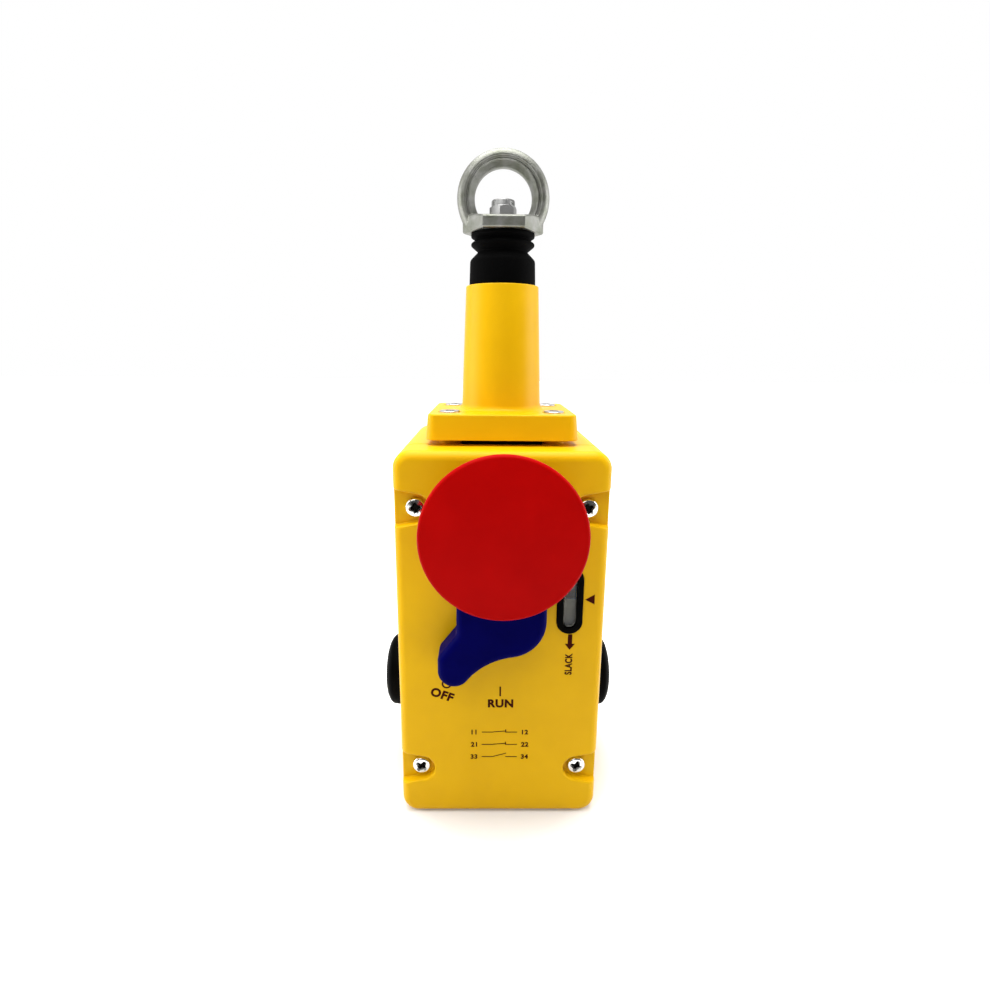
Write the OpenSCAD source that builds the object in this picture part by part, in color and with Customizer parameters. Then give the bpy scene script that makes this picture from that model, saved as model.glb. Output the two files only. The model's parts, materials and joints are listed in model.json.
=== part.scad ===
// Rope pull emergency-stop switch with a pull eye, a mushroom button and a reset handle.
// Millimetres. X to the right, Y to the back, Z up. The origin is the bottom centre of the whole switch.
// A depth d is counted from the cover's flat face towards the back, so a negative depth stands in front.

/* [Body] */
// Width of the housing and of the cover
body_w = 84; // [80:1:104]
// Depth from the cover's face to the mounting face
body_d = 82; // [80:1:102]
// Height of the housing without the pull head
body_h = 160.5; // [158:0.5:200]
// Radius of the four long corners
corner_r = 7; // [4:0.5:9]
// Radius along the edge of the cover's face
edge_r = 3.5; // [1.5:0.5:4]
// Wall of the housing and of the cover
wall = 3.6; // [2.8:0.1:4.2]
// Thickness of the back wall
back_wall = 5; // [4:0.5:7]
// Depth of the cover
cover_d = 18; // [17.5:0.1:19]
// Gap between cover and housing, filled by the seal
seam = 0.8; // [0.5:0.1:1.2]

/* [Cover screws] */
// Sideways spacing of the four cover screws
cover_screw_w = 67; // [60:0.5:70]
// Distance of the cover screws from the top and from the bottom
cover_screw_end = 22.4; // [20:0.2:26]
// Depth of the notch that holds each screw head
notch_d = 4; // [3:0.5:5]
// Radius of the notch round the screw head
notch_r = 5.8; // [5:0.1:7]
// Half height of the notch where it opens at the side
notch_mouth = 7.5; // [6:0.1:9]

/* [Pull head] */
// Width of the flange at its foot
flange_w = 61; // [56:1:70]
// Depth of the flange at its foot
flange_d = 57; // [52:1:62]
// Thickness of the flange
flange_t = 10.2; // [8:0.2:14]
// Draft of the flange's sides, each
flange_draft = 1; // [0:0.25:2]
// Gap between body and flange, filled by the gasket
head_gap = 2.2; // [1:0.1:3]
// Radius of the tower at its foot
tower_base_r = 17; // [16:0.5:20]
// Radius of the tower at its mouth
tower_top_r = 15.1; // [15:0.1:18]
// Height of the tower above the flange
tower_h = 50.4; // [48:0.2:70]
// Bore of the tower round the main spring
tower_bore_r = 12; // [11.5:0.1:13]
// Depth of the pocket that holds the foot of the bellows
mouth_d = 11.4; // [6:0.2:14]
// Height of the web that holds the bush
web_t = 6; // [4:0.5:8]
// Sideways spacing of the head screws
head_screw_w = 42.6; // [38:0.2:46]
// Front to back spacing of the head screws
head_screw_d = 33.4; // [30:0.2:38]

/* [Pull shaft] */
// Radius of the shaft
shaft_r = 5; // [4:0.1:5.5]
// Radius of the threaded end that carries the eye
stud_r = 3; // [2.5:0.5:4]
// Travel of the shaft from slack to full pull
pull_travel = 10; // [6:0.5:10]
// Free height of the bellows above the tower
bellows_h = 20.4; // [18:0.2:26]
// Radius of the foot of the bellows
bellows_r = 13.7; // [12:0.1:13.7]
// Wall of the bellows
bellows_wall = 1.6; // [1:0.1:2]

/* [Eye nut] */
// Width across the flats of the collar
collar_af = 28.6; // [26:0.2:32]
// Thickness of the collar
collar_t = 6.3; // [5:0.1:8]
// How much lower the collar's front and back edges are than its middle
collar_slope = 1.7; // [0:0.1:2]
// Outer radius of the ring
ring_r = 18.6; // [17:0.1:21]
// Inner radius of the ring
ring_hole_r = 11.5; // [10:0.1:13]
// Height of the ring's centre above the collar's lower face
ring_rise = 12.8; // [12:0.1:14]
// Thickness of the ring front to back
ring_t = 9; // [7:0.5:12]

/* [Button and handle] */
// Height of the axis of button and handle above the bottom
hub_z = 134; // [132:0.5:136]
// Radius of the mushroom button
button_r = 29.9; // [26:0.1:31]
// Distance of the button's widest edge in front of the cover
button_stand = 25; // [25:0.5:32]
// Height of the button's front above its widest edge
button_crown = 3.2; // [2:0.2:6]
// Travel of the button
button_travel = 4; // [3:0.5:4]
// Radius of the button's stem
stem_r = 8.2; // [7:0.1:8.5]
// Front of the handle, in front of the cover
handle_front = 13.5; // [12:0.5:14.5]
// Gap between handle and cover
handle_gap = 1; // [0.6:0.1:1.5]
// Half width of the handle's arm
arm_r = 17.3; // [16:0.1:19]
// Radius of the handle's pointer tip
tip_r = 6.4; // [5:0.1:8]
// Angle from OFF to RUN
reset_turn = 17.5; // [12:0.5:18]

/* [Window] */
// Distance of the window from the middle of the cover
window_x = 27.6; // [26:0.1:30]
// Height of the window's middle above the bottom
window_z = 100.5; // [98:0.5:104]
// Width of the bezel
bezel_w = 10.5; // [9:0.1:12]
// Height of the bezel
bezel_h = 28.4; // [24:0.2:32]
// Width of the lens
lens_w = 5.1; // [4:0.1:6]

/* [Cable entries] */
// Height of the side entries above the bottom
entry_z = 42.5; // [38:0.5:48]
// Depth of the entries behind the cover's face
entry_d = 48; // [44:0.5:52]
// Radius of an entry's thread
entry_r = 11.75; // [9.25:0.25:12]
// Radius of a blanking plug's head
plug_r = 17; // [14:0.5:18]
// Height of a blanking plug's head
plug_h = 11.7; // [6:0.1:14]

/* [Back mounting] */
// Sideways spacing of the mounting screws
mount_w = 50; // [44:1:52]
// Upright spacing of the mounting screws
mount_h = 120; // [110:1:122]
// Height of the middle of the four mounting holes
mount_z = 80; // [78:0.5:82]
// Radius of the tapped mounting holes
mount_r = 2.1; // [1.6:0.1:2.6]
// Depth of the tapped mounting holes
mount_hole_d = 8.5; // [6:0.5:9]

/* [Mechanism] */
// Slope of the cam's faces, sideways travel for each millimetre of pull
cam_slope = 0.3; // [0.2:0.05:0.3]
// Half width of the cam at the contact plungers
cam_half = 12; // [11:0.5:12]
// Height of the contact plungers above the bottom
plunger_z = 112; // [110:0.5:114]
// Inner face of each contact block, from the middle
block_x = 20; // [19:0.5:21]
// Radius of a contact plunger
plunger_r = 3; // [2:0.1:3.2]
// Radius at which the pin drives the trip latch
pin_orbit = 13; // [12.5:0.1:13.2]

/* [Hidden] */
$fn = 48;

// Clearances: a running fit, a part that only has to pass, and two fixed parts that touch.
run_fit = 0.06;
pass_gap = 0.4;
seat_fit = 0.03;

// Front to back places
button_reach = button_stand + button_crown;
face_y = (button_reach - body_d) / 2;
axis_d = body_d / 2 + 0.3;
housing_d = cover_d + seam;
back_in = body_d - back_wall;

// Heights
roof_z = body_h - wall;
flange_z = body_h + head_gap;
tower_z = flange_z + flange_t;
mouth_z = tower_z + tower_h;
pocket_z = mouth_z - mouth_d;
web_z = pocket_z - web_t;
collar_z = mouth_z + bellows_h;
nut_z = collar_z + collar_t;
ring_z = collar_z + ring_rise;
cover_screw_z = [cover_screw_end, body_h - cover_screw_end];

// Lock nut, cover screws, head screws and small screws: radii and heights
nut_af = 10;
nut_h = 6.2;
nut_turn = 16;
m4_r = 2;
m4_head_r = 3.9;
m4_head_h = 3;
cover_screw_len = 24;
m5_r = 2.5;
m5_head_r = 4.2;
m5_head_h = 3;
head_screw_len = 17;
head_sink = 2.4;
m3_r = 1.5;
m3_head_r = 2.7;
m3_head_h = 2;
post_r = 5.5;
pad_h = notch_mouth + 2;
mount_boss_r = 6;
entry_boss = 3.2;
side_thread = 8;
bottom_thread = 10;
flange_r = 4.5;
boss_r = 4.5;
boss_root = 8;

// Shaft and main spring
shaft_foot_z = 80;
shaft_end_z = nut_z + nut_h - 0.5;
bush_r = 7.5;
seat_z = body_h - 6.5;
seat_t = 3.5;
seat_r = 11;
spring_r = 10.4;
spring_wire = 2.2;
washer_t = 1.5;
clip_t = 1.1;
clip_groove = 1;
seal_t = 2.4;

// Cam, indicator and guide
cam_top = plunger_z + 12;
cam_foot = plunger_z - 16;
cam_depth = 8;
cam_front = axis_d - cam_depth;
pin_z = cam_foot + 4;
guide_z = [84, 93];
guide_w = 10.5;
guide_front = axis_d - 9;
guide_mid = (guide_z[0] + guide_z[1]) / 2;
guide_screw_x = 7.5;
flag_t = 1.6;
flag_d = wall + 1;
flag_top = window_z - 1;
flag_w = 6.4;
flag_h = 23.5;
arm_x = [8, 14];
arm_z = [94, 98];

// Mechanism plate
plate_d = 20;
plate_t = 2;
plate_cut = [plate_d - 1, plate_d + plate_t + 1];
plate_w = 19.5;
plate_z = [74, body_h - 9];
spacer_x = 15;
spacer_z = [80, body_h - 13.5];
spacer_r = 3.5;

// Spindle, its cam and the latch
grub_d = 6;
spindle_r = 11;
spindle_bore = stem_r + 0.1;
spindle_front = 10;
spindle_back = 13;
spindle_lip = 2;
rod_r = 4.9;
bush_flange_r = 14.5;
bush_flange_t = 1.6;
spindle_clip_d = wall + bush_flange_t + 0.42;
spindle_bush_r = 12.5;
spindle_cam_r = 15;
spindle_cam_d = [8, 12.5];
cam_pin_r = 1.5;
cam_pin_end = 17.6;
latch_d = [14.6, 16.6];
latch_cut = [latch_d[0] - 1, latch_d[1] + 1];
latch_x = [-19.6, -9.5];
latch_z = [112, body_h - 9.5];
latch_pin_x = -16.8;
latch_pin_z = [121, body_h - 21.5];
latch_pin_r = 1.6;
latch_drop = pin_orbit * reset_turn * PI / 180;

// Button underside, plunger and its contact block
under_d = -(button_stand - 5.5);
stem_end = -6;
spigot_h = 4;
rod_end = 25;
bridge_t = 1.2;
estop_block_d = [plate_d + plate_t, rod_end + bridge_t + button_travel + 1.8];
estop_block_w = 11;
estop_block_h = 10;

// Contact blocks
block_w = 17;
block_front = axis_d - 10.3;
block_z = [plunger_z - 20, plunger_z + 20];
block_screw_z = [plunger_z - 6.5, plunger_z + 6.5];
cell_x = [block_x + 4, block_x + 15];
cell_r = 6;
cell_h = 8;
bridge_x = cell_x[0] + 2;
terminal_x = [block_x + 4, block_x + 12.5];
terminal_z = [block_z[0] + 6, block_z[1] - 6];
terminal_sink = 1.2;
terminal_len = 9;
bridge_half = 6.8;
contact_z = 5.8;
clamp_w = 6.4;
clamp_t = 1.2;
clamp_d = block_front + terminal_sink - clamp_t;

// Window
lens_h = bezel_h - bezel_w + lens_w;

// Earth terminal
earth_z = 40;
earth_boss_r = 5;
earth_boss_h = 11;
earth_clamp_w = 8.4;
earth_d = back_in - earth_boss_h - clamp_t;

yellow = "gold";
black = "#1c1c1e";
steel = "silver";
brass = "#c9a24a";
ivory = "#e4e0d2";

// Points of an arc about c from angle a to angle b
function arc(c, r, a, b, n = 8) = [for (i = [0 : n]) c + r * on_circle(a + (b - a) * i / n)];
function on_circle(a) = [cos(a), sin(a)];

// Angle of the line from p to q
function bearing(p, q) = atan2(q[1] - p[1], q[0] - p[0]);

// Centre of the circle of radius r that touches two circles from outside,
// on the right of the way from p to q
function touch(p, rp, q, rq, r) =
    let(s = norm(q - p), u = (q - p) / s)
    let(a = ((r + rp) * (r + rp) - (r + rq) * (r + rq) + s * s) / (2 * s))
    let(h = sqrt((r + rp) * (r + rp) - a * a))
    p + a * u + h * [u[1], -u[0]];

// Moves a thing to the shaft's axis, at height z
module at_shaft(z) translate([0, face_y + axis_d, z]) children();

// A round bar along Y at (x, z) between two depths
module y_bar(x, z, d, r) translate([x, face_y + d[0], z]) rotate([-90, 0, 0])
    cylinder(r = r, h = d[1] - d[0]);

// A round bar along X between two places
module x_bar(x, d, z, r) translate([x[0], face_y + d, z]) rotate([0, 90, 0])
    cylinder(r = r, h = x[1] - x[0]);

// A round bar on the shaft's axis between two heights
module z_bar(z, r) at_shaft(z[0]) cylinder(r = r, h = z[1] - z[0]);

// A box given by its ends in X, depth and Z
module block(x, d, z) translate([x[0], face_y + d[0], z[0]])
    cube([x[1] - x[0], d[1] - d[0], z[1] - z[0]]);

// A flat shape in X and Z, drawn out between two depths
module y_slab(x, z, d) translate([x, face_y + d[1], z]) rotate([90, 0, 0])
    linear_extrude(d[1] - d[0]) children();

// A profile of radius and depth turned about the Y axis through (x, z)
module y_turn(x, z) translate([x, face_y, z]) rotate([-90, 0, 0]) rotate_extrude() children();

// A profile of radius and height turned about the shaft's axis
module z_turn() at_shaft(0) rotate_extrude() children();

// A pill of width w and height h, upright
module pill(w, h) polygon(concat(
    arc([0, h / 2 - w / 2], w / 2, 0, 180, 12),
    arc([0, w / 2 - h / 2], w / 2, 180, 360, 12)));

// A thing and its mirror image
module left_and_right() {
    children();
    mirror([1, 0, 0]) children();
}

// The cover's or housing's outline drawn out with round corners, inset by s
module shell_core(s, d) hull() for (x = [-1, 1], z = [0, 1])
    y_bar(x * (body_w / 2 - corner_r), z == 0 ? corner_r : body_h - corner_r, d, corner_r - s, $fn = 32);

// A screw along Y: its head lies in front of depth d
module y_screw(x, z, d, len, r, head_r, head_h) {
    y_bar(x, z, [d - head_h, d], head_r);
    y_bar(x, z, [d, d + len], r);
}

module at_cover_screws() for (x = [-1, 1], z = cover_screw_z)
    translate([x * cover_screw_w / 2, 0, z]) children();

module at_head_screws(z) at_shaft(z) for (x = [-1, 1], y = [-1, 1])
    translate([x * head_screw_w / 2, y * head_screw_d / 2, 0]) children();

module at_mounts() for (x = [-1, 1], z = [-1, 1])
    translate([x * mount_w / 2, 0, mount_z + z * mount_h / 2]) children();

// Recess round a screw head, open to the side and wider there
module notch(side) y_slab(0, 0, [-1, notch_d]) {
    reach = side * ((body_w - cover_screw_w) / 2 + 1);
    circle(r = notch_r);
    polygon([[0, -notch_r], [reach, -notch_mouth], [reach, notch_mouth], [0, notch_r]]);
}

// Hollow cover with a rounded rim and a solid block behind each screw notch
module front_cover() color(yellow) difference() {
    hull() for (a = [0 : 30 : 90])
        shell_core(edge_r * (1 - sin(a)), [edge_r * (1 - cos(a)), cover_d]);
    difference() {
        shell_core(wall, [wall, cover_d + 1]);
        left_and_right() for (z = cover_screw_z)
            block([cover_screw_w / 2 - notch_mouth, body_w / 2], [0, cover_d + 2], [z - pad_h, z + pad_h]);
    }
    for (side = [-1, 1], z = cover_screw_z) translate([side * cover_screw_w / 2, 0, z]) notch(side);
    at_cover_screws() y_bar(0, 0, [0, cover_d + 1], m4_r + pass_gap);
    y_bar(0, hub_z, [-1, wall + 1], spindle_bush_r + seat_fit);
    y_slab(window_x, window_z, [-1, wall + 1]) pill(bezel_w - 2, bezel_h - 2);
}

// Housing: shell, posts, threaded entries, mounting bosses and earth stud boss in one casting
module rear_housing() color(yellow) difference() {
    union() {
        difference() {
            shell_core(0, [housing_d, body_d]);
            shell_core(wall, [housing_d - 1, back_in]);
        }
        at_cover_screws() y_bar(0, 0, [housing_d, back_in + 1], post_r);
        at_mounts() y_bar(0, 0, [back_in - 5, back_in + 1], mount_boss_r);
        at_head_screws(body_h - boss_root) cylinder(r = boss_r, h = boss_root + head_gap);
        left_and_right()
            x_bar([body_w / 2 - side_thread, body_w / 2 - 1], entry_d, entry_z, entry_r + entry_boss);
        translate([0, face_y + entry_d, 1]) cylinder(r = entry_r + entry_boss, h = bottom_thread - 1);
        y_bar(0, earth_z, [back_in - earth_boss_h, back_in + 1], earth_boss_r);
    }
    at_cover_screws() y_bar(0, 0, [housing_d - 1, notch_d + cover_screw_len + 2], m4_r + seat_fit);
    at_mounts() y_bar(0, 0, [body_d - mount_hole_d, body_d + 1], mount_r);
    at_head_screws(body_h - boss_root - 1) cylinder(r = m5_r + seat_fit, h = boss_root + head_gap + 2);
    z_bar([roof_z - 1, body_h + 1], tower_bore_r + 1);
    left_and_right() x_bar([body_w / 2 - side_thread - 2, body_w / 2 + 1], entry_d, entry_z, entry_r);
    translate([0, face_y + entry_d, -1]) cylinder(r = entry_r, h = bottom_thread + 2);
    y_bar(0, earth_z, [back_in - earth_boss_h - 1, back_in], m4_r + seat_fit);
    for (x = [-1, 1], z = spacer_z) y_bar(x * spacer_x, z, [back_in - 1, body_d - 1.5], m3_r + seat_fit);
}

module cover_seal() color(black) difference() {
    shell_core(1.2, [cover_d, housing_d]);
    shell_core(wall - 0.2, [cover_d - 1, housing_d + 1]);
}

// Pan head with a cross recess
module cover_screws() color(steel) at_cover_screws() difference() {
    y_screw(0, 0, notch_d, cover_screw_len, m4_r, m4_head_r, m4_head_h);
    for (a = [0, 90]) rotate([0, a + 20, 0])
        translate([-2.3, face_y + notch_d - m4_head_h - 1, -0.45]) cube([4.6, 2.8, 0.9]);
}

// Flange with drafted sides and a small chamfer along its top
module flange_plate() hull() for (k = [[0, 0], [flange_t - 1.2, flange_draft], [flange_t, flange_draft + 1]])
    for (x = [-1, 1], y = [-1, 1]) at_shaft(flange_z)
        translate([x * (flange_w / 2 - flange_r), y * (flange_d / 2 - flange_r), 0])
            cylinder(r = flange_r - k[1], h = max(k[0], 0.5), $fn = 32);

module pull_head() color(yellow) difference() {
    union() {
        flange_plate();
        at_shaft(tower_z - 1) cylinder(r1 = tower_base_r, r2 = tower_top_r, h = tower_h + 1);
        at_shaft(tower_z - 1) cylinder(r1 = tower_base_r + 2, r2 = tower_base_r - 0.5, h = 2.5);
    }
    z_bar([flange_z - 1, web_z], tower_bore_r);
    z_bar([web_z - 1, mouth_z], bush_r + seat_fit);
    z_bar([pocket_z, mouth_z + 1], bellows_r + 0.35);
    at_head_screws(flange_z - 1) cylinder(r = m5_r + pass_gap, h = flange_t + 2);
    at_head_screws(tower_z - head_sink) cylinder(r = m5_head_r + pass_gap, h = head_sink + 1);
}

// Cross-shaped gasket that leaves the four screw bosses free
module head_gasket() color(black) difference() {
    half_x = [head_screw_w / 2 - boss_r - 0.6, flange_w / 2 - 5];
    half_y = [flange_d / 2 - 6, head_screw_d / 2 - boss_r - 0.6];
    for (k = [0, 1])
        block([-half_x[k], half_x[k]], [axis_d - half_y[k], axis_d + half_y[k]], [body_h, flange_z]);
    z_bar([body_h - 1, flange_z + 1], tower_bore_r + 1);
}

// Socket cap screws sunk in the flange
module head_screws() color(steel) difference() {
    union() {
        at_head_screws(tower_z - head_sink) cylinder(r = m5_head_r, h = m5_head_h);
        at_head_screws(tower_z - head_sink - head_screw_len) cylinder(r = m5_r, h = head_screw_len);
    }
    at_head_screws(tower_z - head_sink + 1) cylinder(r = 2.3, h = m5_head_h, $fn = 6);
}

module shaft_bush() color(brass) difference() {
    z_bar([web_z, pocket_z], bush_r);
    z_bar([web_z - 1, pocket_z + 1], shaft_r + run_fit);
}

module shaft_seal() color(black) difference() {
    z_bar([pocket_z, pocket_z + seal_t], bush_r);
    z_bar([pocket_z - 1, pocket_z + seal_t + 1], shaft_r + run_fit);
}

module spring_washer() color(steel) difference() {
    z_bar([web_z - washer_t, web_z], seat_r);
    z_bar([web_z - washer_t - 1, web_z + 1], shaft_r + pass_gap);
}

module main_spring() color(steel) difference() {
    z_bar([seat_z + seat_t, web_z - washer_t], spring_r);
    z_bar([seat_z, web_z], spring_r - spring_wire);
}

module spring_collar() color(steel) difference() {
    z_bar([seat_z, seat_z + seat_t], seat_r);
    z_bar([seat_z - 1, seat_z + seat_t + 1], shaft_r + seat_fit);
}

module shaft_circlip() color(steel) difference() {
    z_bar([seat_z - clip_t, seat_z], shaft_r + 2.4);
    z_bar([seat_z - clip_t - 1, seat_z + 1], shaft_r - clip_groove + seat_fit);
    block([-1.5, 1.5], [axis_d, axis_d + shaft_r + 3], [seat_z - clip_t - 1, seat_z + 1]);
}

module pull_shaft() color(steel) difference() {
    union() {
        z_bar([shaft_foot_z, collar_z], shaft_r);
        z_bar([collar_z - 1, shaft_end_z], stud_r);
    }
    difference() {
        z_bar([seat_z - clip_t - 0.05, seat_z], shaft_r + 1);
        z_bar([seat_z - clip_t - 1, seat_z + 1], shaft_r - clip_groove);
    }
    y_bar(0, pin_z, [axis_d - shaft_r - 1, axis_d + shaft_r + 1], m3_r + seat_fit);
}

// Outer line of the bellows from its foot in the pocket to its lip under the collar
bellows_line = [
    [bellows_r, pocket_z], [bellows_r, mouth_z + 1], [bellows_r - 0.3, mouth_z + 8.2],
    [bellows_r - 0.5, mouth_z + 10.4], [bellows_r - 3.4, mouth_z + 13], [bellows_r - 3.4, mouth_z + 13.6],
    [bellows_r - 0.9, mouth_z + 15.4], [bellows_r - 0.9, mouth_z + 16.6], [bellows_r - 2.3, mouth_z + 17.6],
    [bellows_r - 0.8, mouth_z + 18.6], [bellows_r - 0.8, collar_z - 0.1]];

module bellows() color(black) z_turn() polygon(concat(
    bellows_line,
    [[shaft_r + pass_gap, collar_z - 0.1], [shaft_r + pass_gap, collar_z - 1.3]],
    [for (i = [len(bellows_line) - 2 : -1 : 1]) bellows_line[i] - [bellows_wall, 0]],
    [[bellows_r - bellows_wall, pocket_z + 2], [bush_r + pass_gap, pocket_z + 2],
        [bush_r + pass_gap, pocket_z]]));

// Hexagonal collar, thinner in front and behind, with a cast ring that stands across it
module eye_nut() color(steel) difference() {
    union() {
        hull() {
            at_shaft(collar_z) cylinder(r = collar_af / sqrt(3), h = collar_t - collar_slope, $fn = 6);
            at_shaft(collar_z) cylinder(r = nut_af / sqrt(3) + 0.6, h = collar_t);
            at_shaft(collar_z) for (x = [-1, 1]) translate([x * (ring_r - ring_t), 0, 0])
                cylinder(r = ring_t / 2, h = collar_t);
        }
        at_shaft(ring_z) rotate([90, 0, 0]) rotate_extrude() ring_section();
    }
    z_bar([collar_z - 1, nut_z], stud_r + 0.15);
    z_bar([nut_z, nut_z + 4.5], nut_af / sqrt(3) + 0.6);
    block([-ring_r, ring_r], [axis_d - ring_t, axis_d + ring_t], [collar_z - 20, collar_z]);
}

// Half of the ring's eight-sided section; its mirror image makes it whole
module ring_section() for (side = [0, 1]) mirror([0, side]) polygon([
    [ring_hole_r, 0], [ring_hole_r, ring_t / 2 - 2.6], [ring_hole_r + 2, ring_t / 2],
    [ring_r - 1.6, ring_t / 2], [ring_r, ring_t / 2 - 2], [ring_r, 0]]);

module lock_nut() color(steel) difference() {
    at_shaft(nut_z) rotate(nut_turn) cylinder(r = nut_af / sqrt(3), h = nut_h, $fn = 6);
    z_bar([nut_z - 1, nut_z + nut_h + 1], stud_r + seat_fit);
}

// Half width of the cam at height z
function cam_x(z) = cam_half - cam_slope * (z - plunger_z);

// Wedge on the shaft: as it rises, its flanks push the contact plungers outwards
module cam_slider() color(ivory) difference() {
    y_slab(0, 0, [cam_front, axis_d + cam_depth]) polygon([
        [-cam_x(cam_foot), cam_foot], [cam_x(cam_foot), cam_foot],
        [cam_x(cam_top), cam_top], [-cam_x(cam_top), cam_top]]);
    z_bar([cam_foot - 1, cam_top + 1], shaft_r + seat_fit);
    y_bar(0, pin_z, [cam_front - 1, axis_d + cam_depth + 1], m3_r + seat_fit);
}

module slider_pin() color(steel) y_bar(0, pin_z, [cam_front + 0.5, axis_d + cam_depth - 0.5], m3_r);

// Arm on the cam that carries the flag seen in the window
module slack_indicator() color(steel) union() {
    block(arm_x, [flag_d, cam_front], arm_z);
    block([arm_x[0], window_x + flag_w / 2], [flag_d, flag_d + flag_t], arm_z);
    block([window_x - flag_w / 2, window_x + flag_w / 2], [flag_d, flag_d + flag_t],
        [flag_top - flag_h, flag_top]);
}

module lower_guide() color(ivory) difference() {
    block([-guide_w, guide_w], [guide_front, back_in], guide_z);
    z_bar([guide_z[0] - 1, guide_z[1] + 1], shaft_r + run_fit);
    for (x = [-1, 1]) y_bar(x * guide_screw_x, guide_mid, [0, back_in + 1], m3_r + seat_fit);
}

module guide_screws() color(steel) for (x = [-1, 1]) y_screw(x * guide_screw_x, guide_mid,
    guide_front, back_in - guide_front - 0.5, m3_r, m3_head_r, m3_head_h);

module mechanism_plate() color(steel) difference() {
    block([-plate_w, plate_w], [plate_d, plate_d + plate_t], plate_z);
    y_bar(0, hub_z, plate_cut, rod_r + run_fit);
    block([arm_x[0] - 1.5, arm_x[1] + 1.5], plate_cut, [arm_z[0] - 2, arm_z[1] + pull_travel + 2]);
    block([latch_x[0] + 5, latch_x[1] + 1.5], plate_cut, [latch_z[0] - latch_drop - 2, latch_z[0] + 5]);
    for (x = [-1, 1], z = spacer_z) y_bar(x * spacer_x, z, plate_cut, m3_r + 0.3);
    for (z = latch_pin_z) y_bar(latch_pin_x, z, plate_cut, latch_pin_r + seat_fit);
}

module plate_spacers() color(brass) for (x = [-1, 1], z = spacer_z) difference() {
    y_bar(x * spacer_x, z, [plate_d + plate_t, back_in], spacer_r);
    y_bar(x * spacer_x, z, [plate_d, back_in + 1], m3_r + seat_fit);
}

module plate_screws() color(steel) for (x = [-1, 1], z = spacer_z)
    y_screw(x * spacer_x, z, plate_d, body_d - 2 - plate_d, m3_r, m3_head_r, m3_head_h);

module latch_guide_pins() color(steel) for (z = latch_pin_z) {
    y_bar(latch_pin_x, z, [latch_d[0] - 0.3, plate_d + plate_t], latch_pin_r);
    y_bar(latch_pin_x, z, [latch_d[0] - 1.4, latch_d[0] - 0.3], latch_pin_r + 1.2);
}

// Sliding plate that the spindle's pin draws down as the handle turns to RUN
module trip_latch() color(steel) difference() {
    union() {
        block(latch_x, latch_d, latch_z);
        block([latch_x[0] + 6.5, latch_x[1]], [latch_d[0], cam_front - 0.8], [latch_z[0], latch_z[0] + 3]);
    }
    block([-pin_orbit - 2.2, -pin_orbit + 2.4], latch_cut,
        [hub_z - cam_pin_r - 0.15, hub_z + cam_pin_r + 0.15]);
    for (z = latch_pin_z) block([latch_pin_x - latch_pin_r - 0.15, latch_pin_x + latch_pin_r + 0.15],
        latch_cut, [z - latch_pin_r - 0.3, z + latch_pin_r + latch_drop + 0.4]);
}

// Handle outline at OFF, from the hub's centre: a straight arm with a pointer that sweeps to the lower left
lobe_c = [2.6, -37.6];
lobe_r = arm_r - lobe_c[0];
tip_c = [-18.3, -58.4];
shoulder_r = 3.7;
shoulder_c = [tip_c[0] - tip_r + shoulder_r, -53.8];
valley_r = 4.6;
valley_c = [-arm_r - valley_r, -41.4];
sweep_r = 27;
sweep_c = touch(tip_c, tip_r, lobe_c, lobe_r, sweep_r);
flank_turn = bearing(valley_c, shoulder_c) + acos((valley_r + shoulder_r) / norm(shoulder_c - valley_c));
module handle_outline() polygon(concat(
    arc([0, 0], arm_r, 0, 180, 24),
    arc(valley_c, valley_r, 0, flank_turn, 6),
    arc(shoulder_c, shoulder_r, flank_turn + 180, 180, 5),
    arc(tip_c, tip_r, 180, 360 + bearing(tip_c, sweep_c), 12),
    arc(sweep_c, sweep_r, bearing(sweep_c, tip_c), bearing(sweep_c, lobe_c), 8),
    arc(lobe_c, lobe_r, bearing(lobe_c, sweep_c), 0, 10)));

module reset_handle() color("navy") difference() {
    y_slab(0, hub_z, [-handle_front, -handle_gap]) handle_outline();
    y_bar(0, hub_z, [-spindle_front - 0.05, 0], spindle_r + seat_fit);
    y_bar(0, hub_z, [-handle_front - 1, 0], stem_r + pass_gap);
    translate([0, face_y - grub_d, hub_z + spindle_r - 1]) cylinder(r = m3_r + seat_fit, h = arm_r);
}

module handle_grub_screw() color(steel) translate([0, face_y - grub_d, hub_z + spindle_r + 0.05])
    cylinder(r = m3_r, h = arm_r - spindle_r - 1);

module reset_spindle() color(steel) difference() {
    y_bar(0, hub_z, [-spindle_front, spindle_back], spindle_r);
    y_bar(0, hub_z, [-spindle_front - 1, spindle_back - spindle_lip], spindle_bore);
    y_bar(0, hub_z, [0, spindle_back + 1], rod_r + run_fit);
    difference() {
        y_bar(0, hub_z, [spindle_clip_d - 0.02, spindle_clip_d + clip_t + 0.03], spindle_r + 1);
        y_bar(0, hub_z, [0, spindle_back], spindle_r - clip_groove);
    }
}

module spindle_circlip() color(steel) difference() {
    y_bar(0, hub_z, [spindle_clip_d, spindle_clip_d + clip_t], spindle_r + 1.6);
    y_bar(0, hub_z, [0, spindle_back], spindle_r - clip_groove + seat_fit);
    block([-2, 2], [0, spindle_back], [hub_z, hub_z + spindle_r + 3]);
}

module spindle_cam() color(ivory) difference() {
    y_bar(0, hub_z, spindle_cam_d, spindle_cam_r);
    y_bar(0, hub_z, [0, spindle_back + 1], spindle_r + seat_fit);
    y_bar(-pin_orbit, hub_z, [spindle_cam_d[0] + 1, spindle_back + 1], cam_pin_r + seat_fit);
    block([3, spindle_cam_r + 1], [0, spindle_back + 1],
        [hub_z + spindle_r + 1.2, hub_z + spindle_cam_r + 1]);
}

module cam_pin() color(steel) y_bar(-pin_orbit, hub_z, [spindle_cam_d[0] + 1, cam_pin_end], cam_pin_r);

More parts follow.
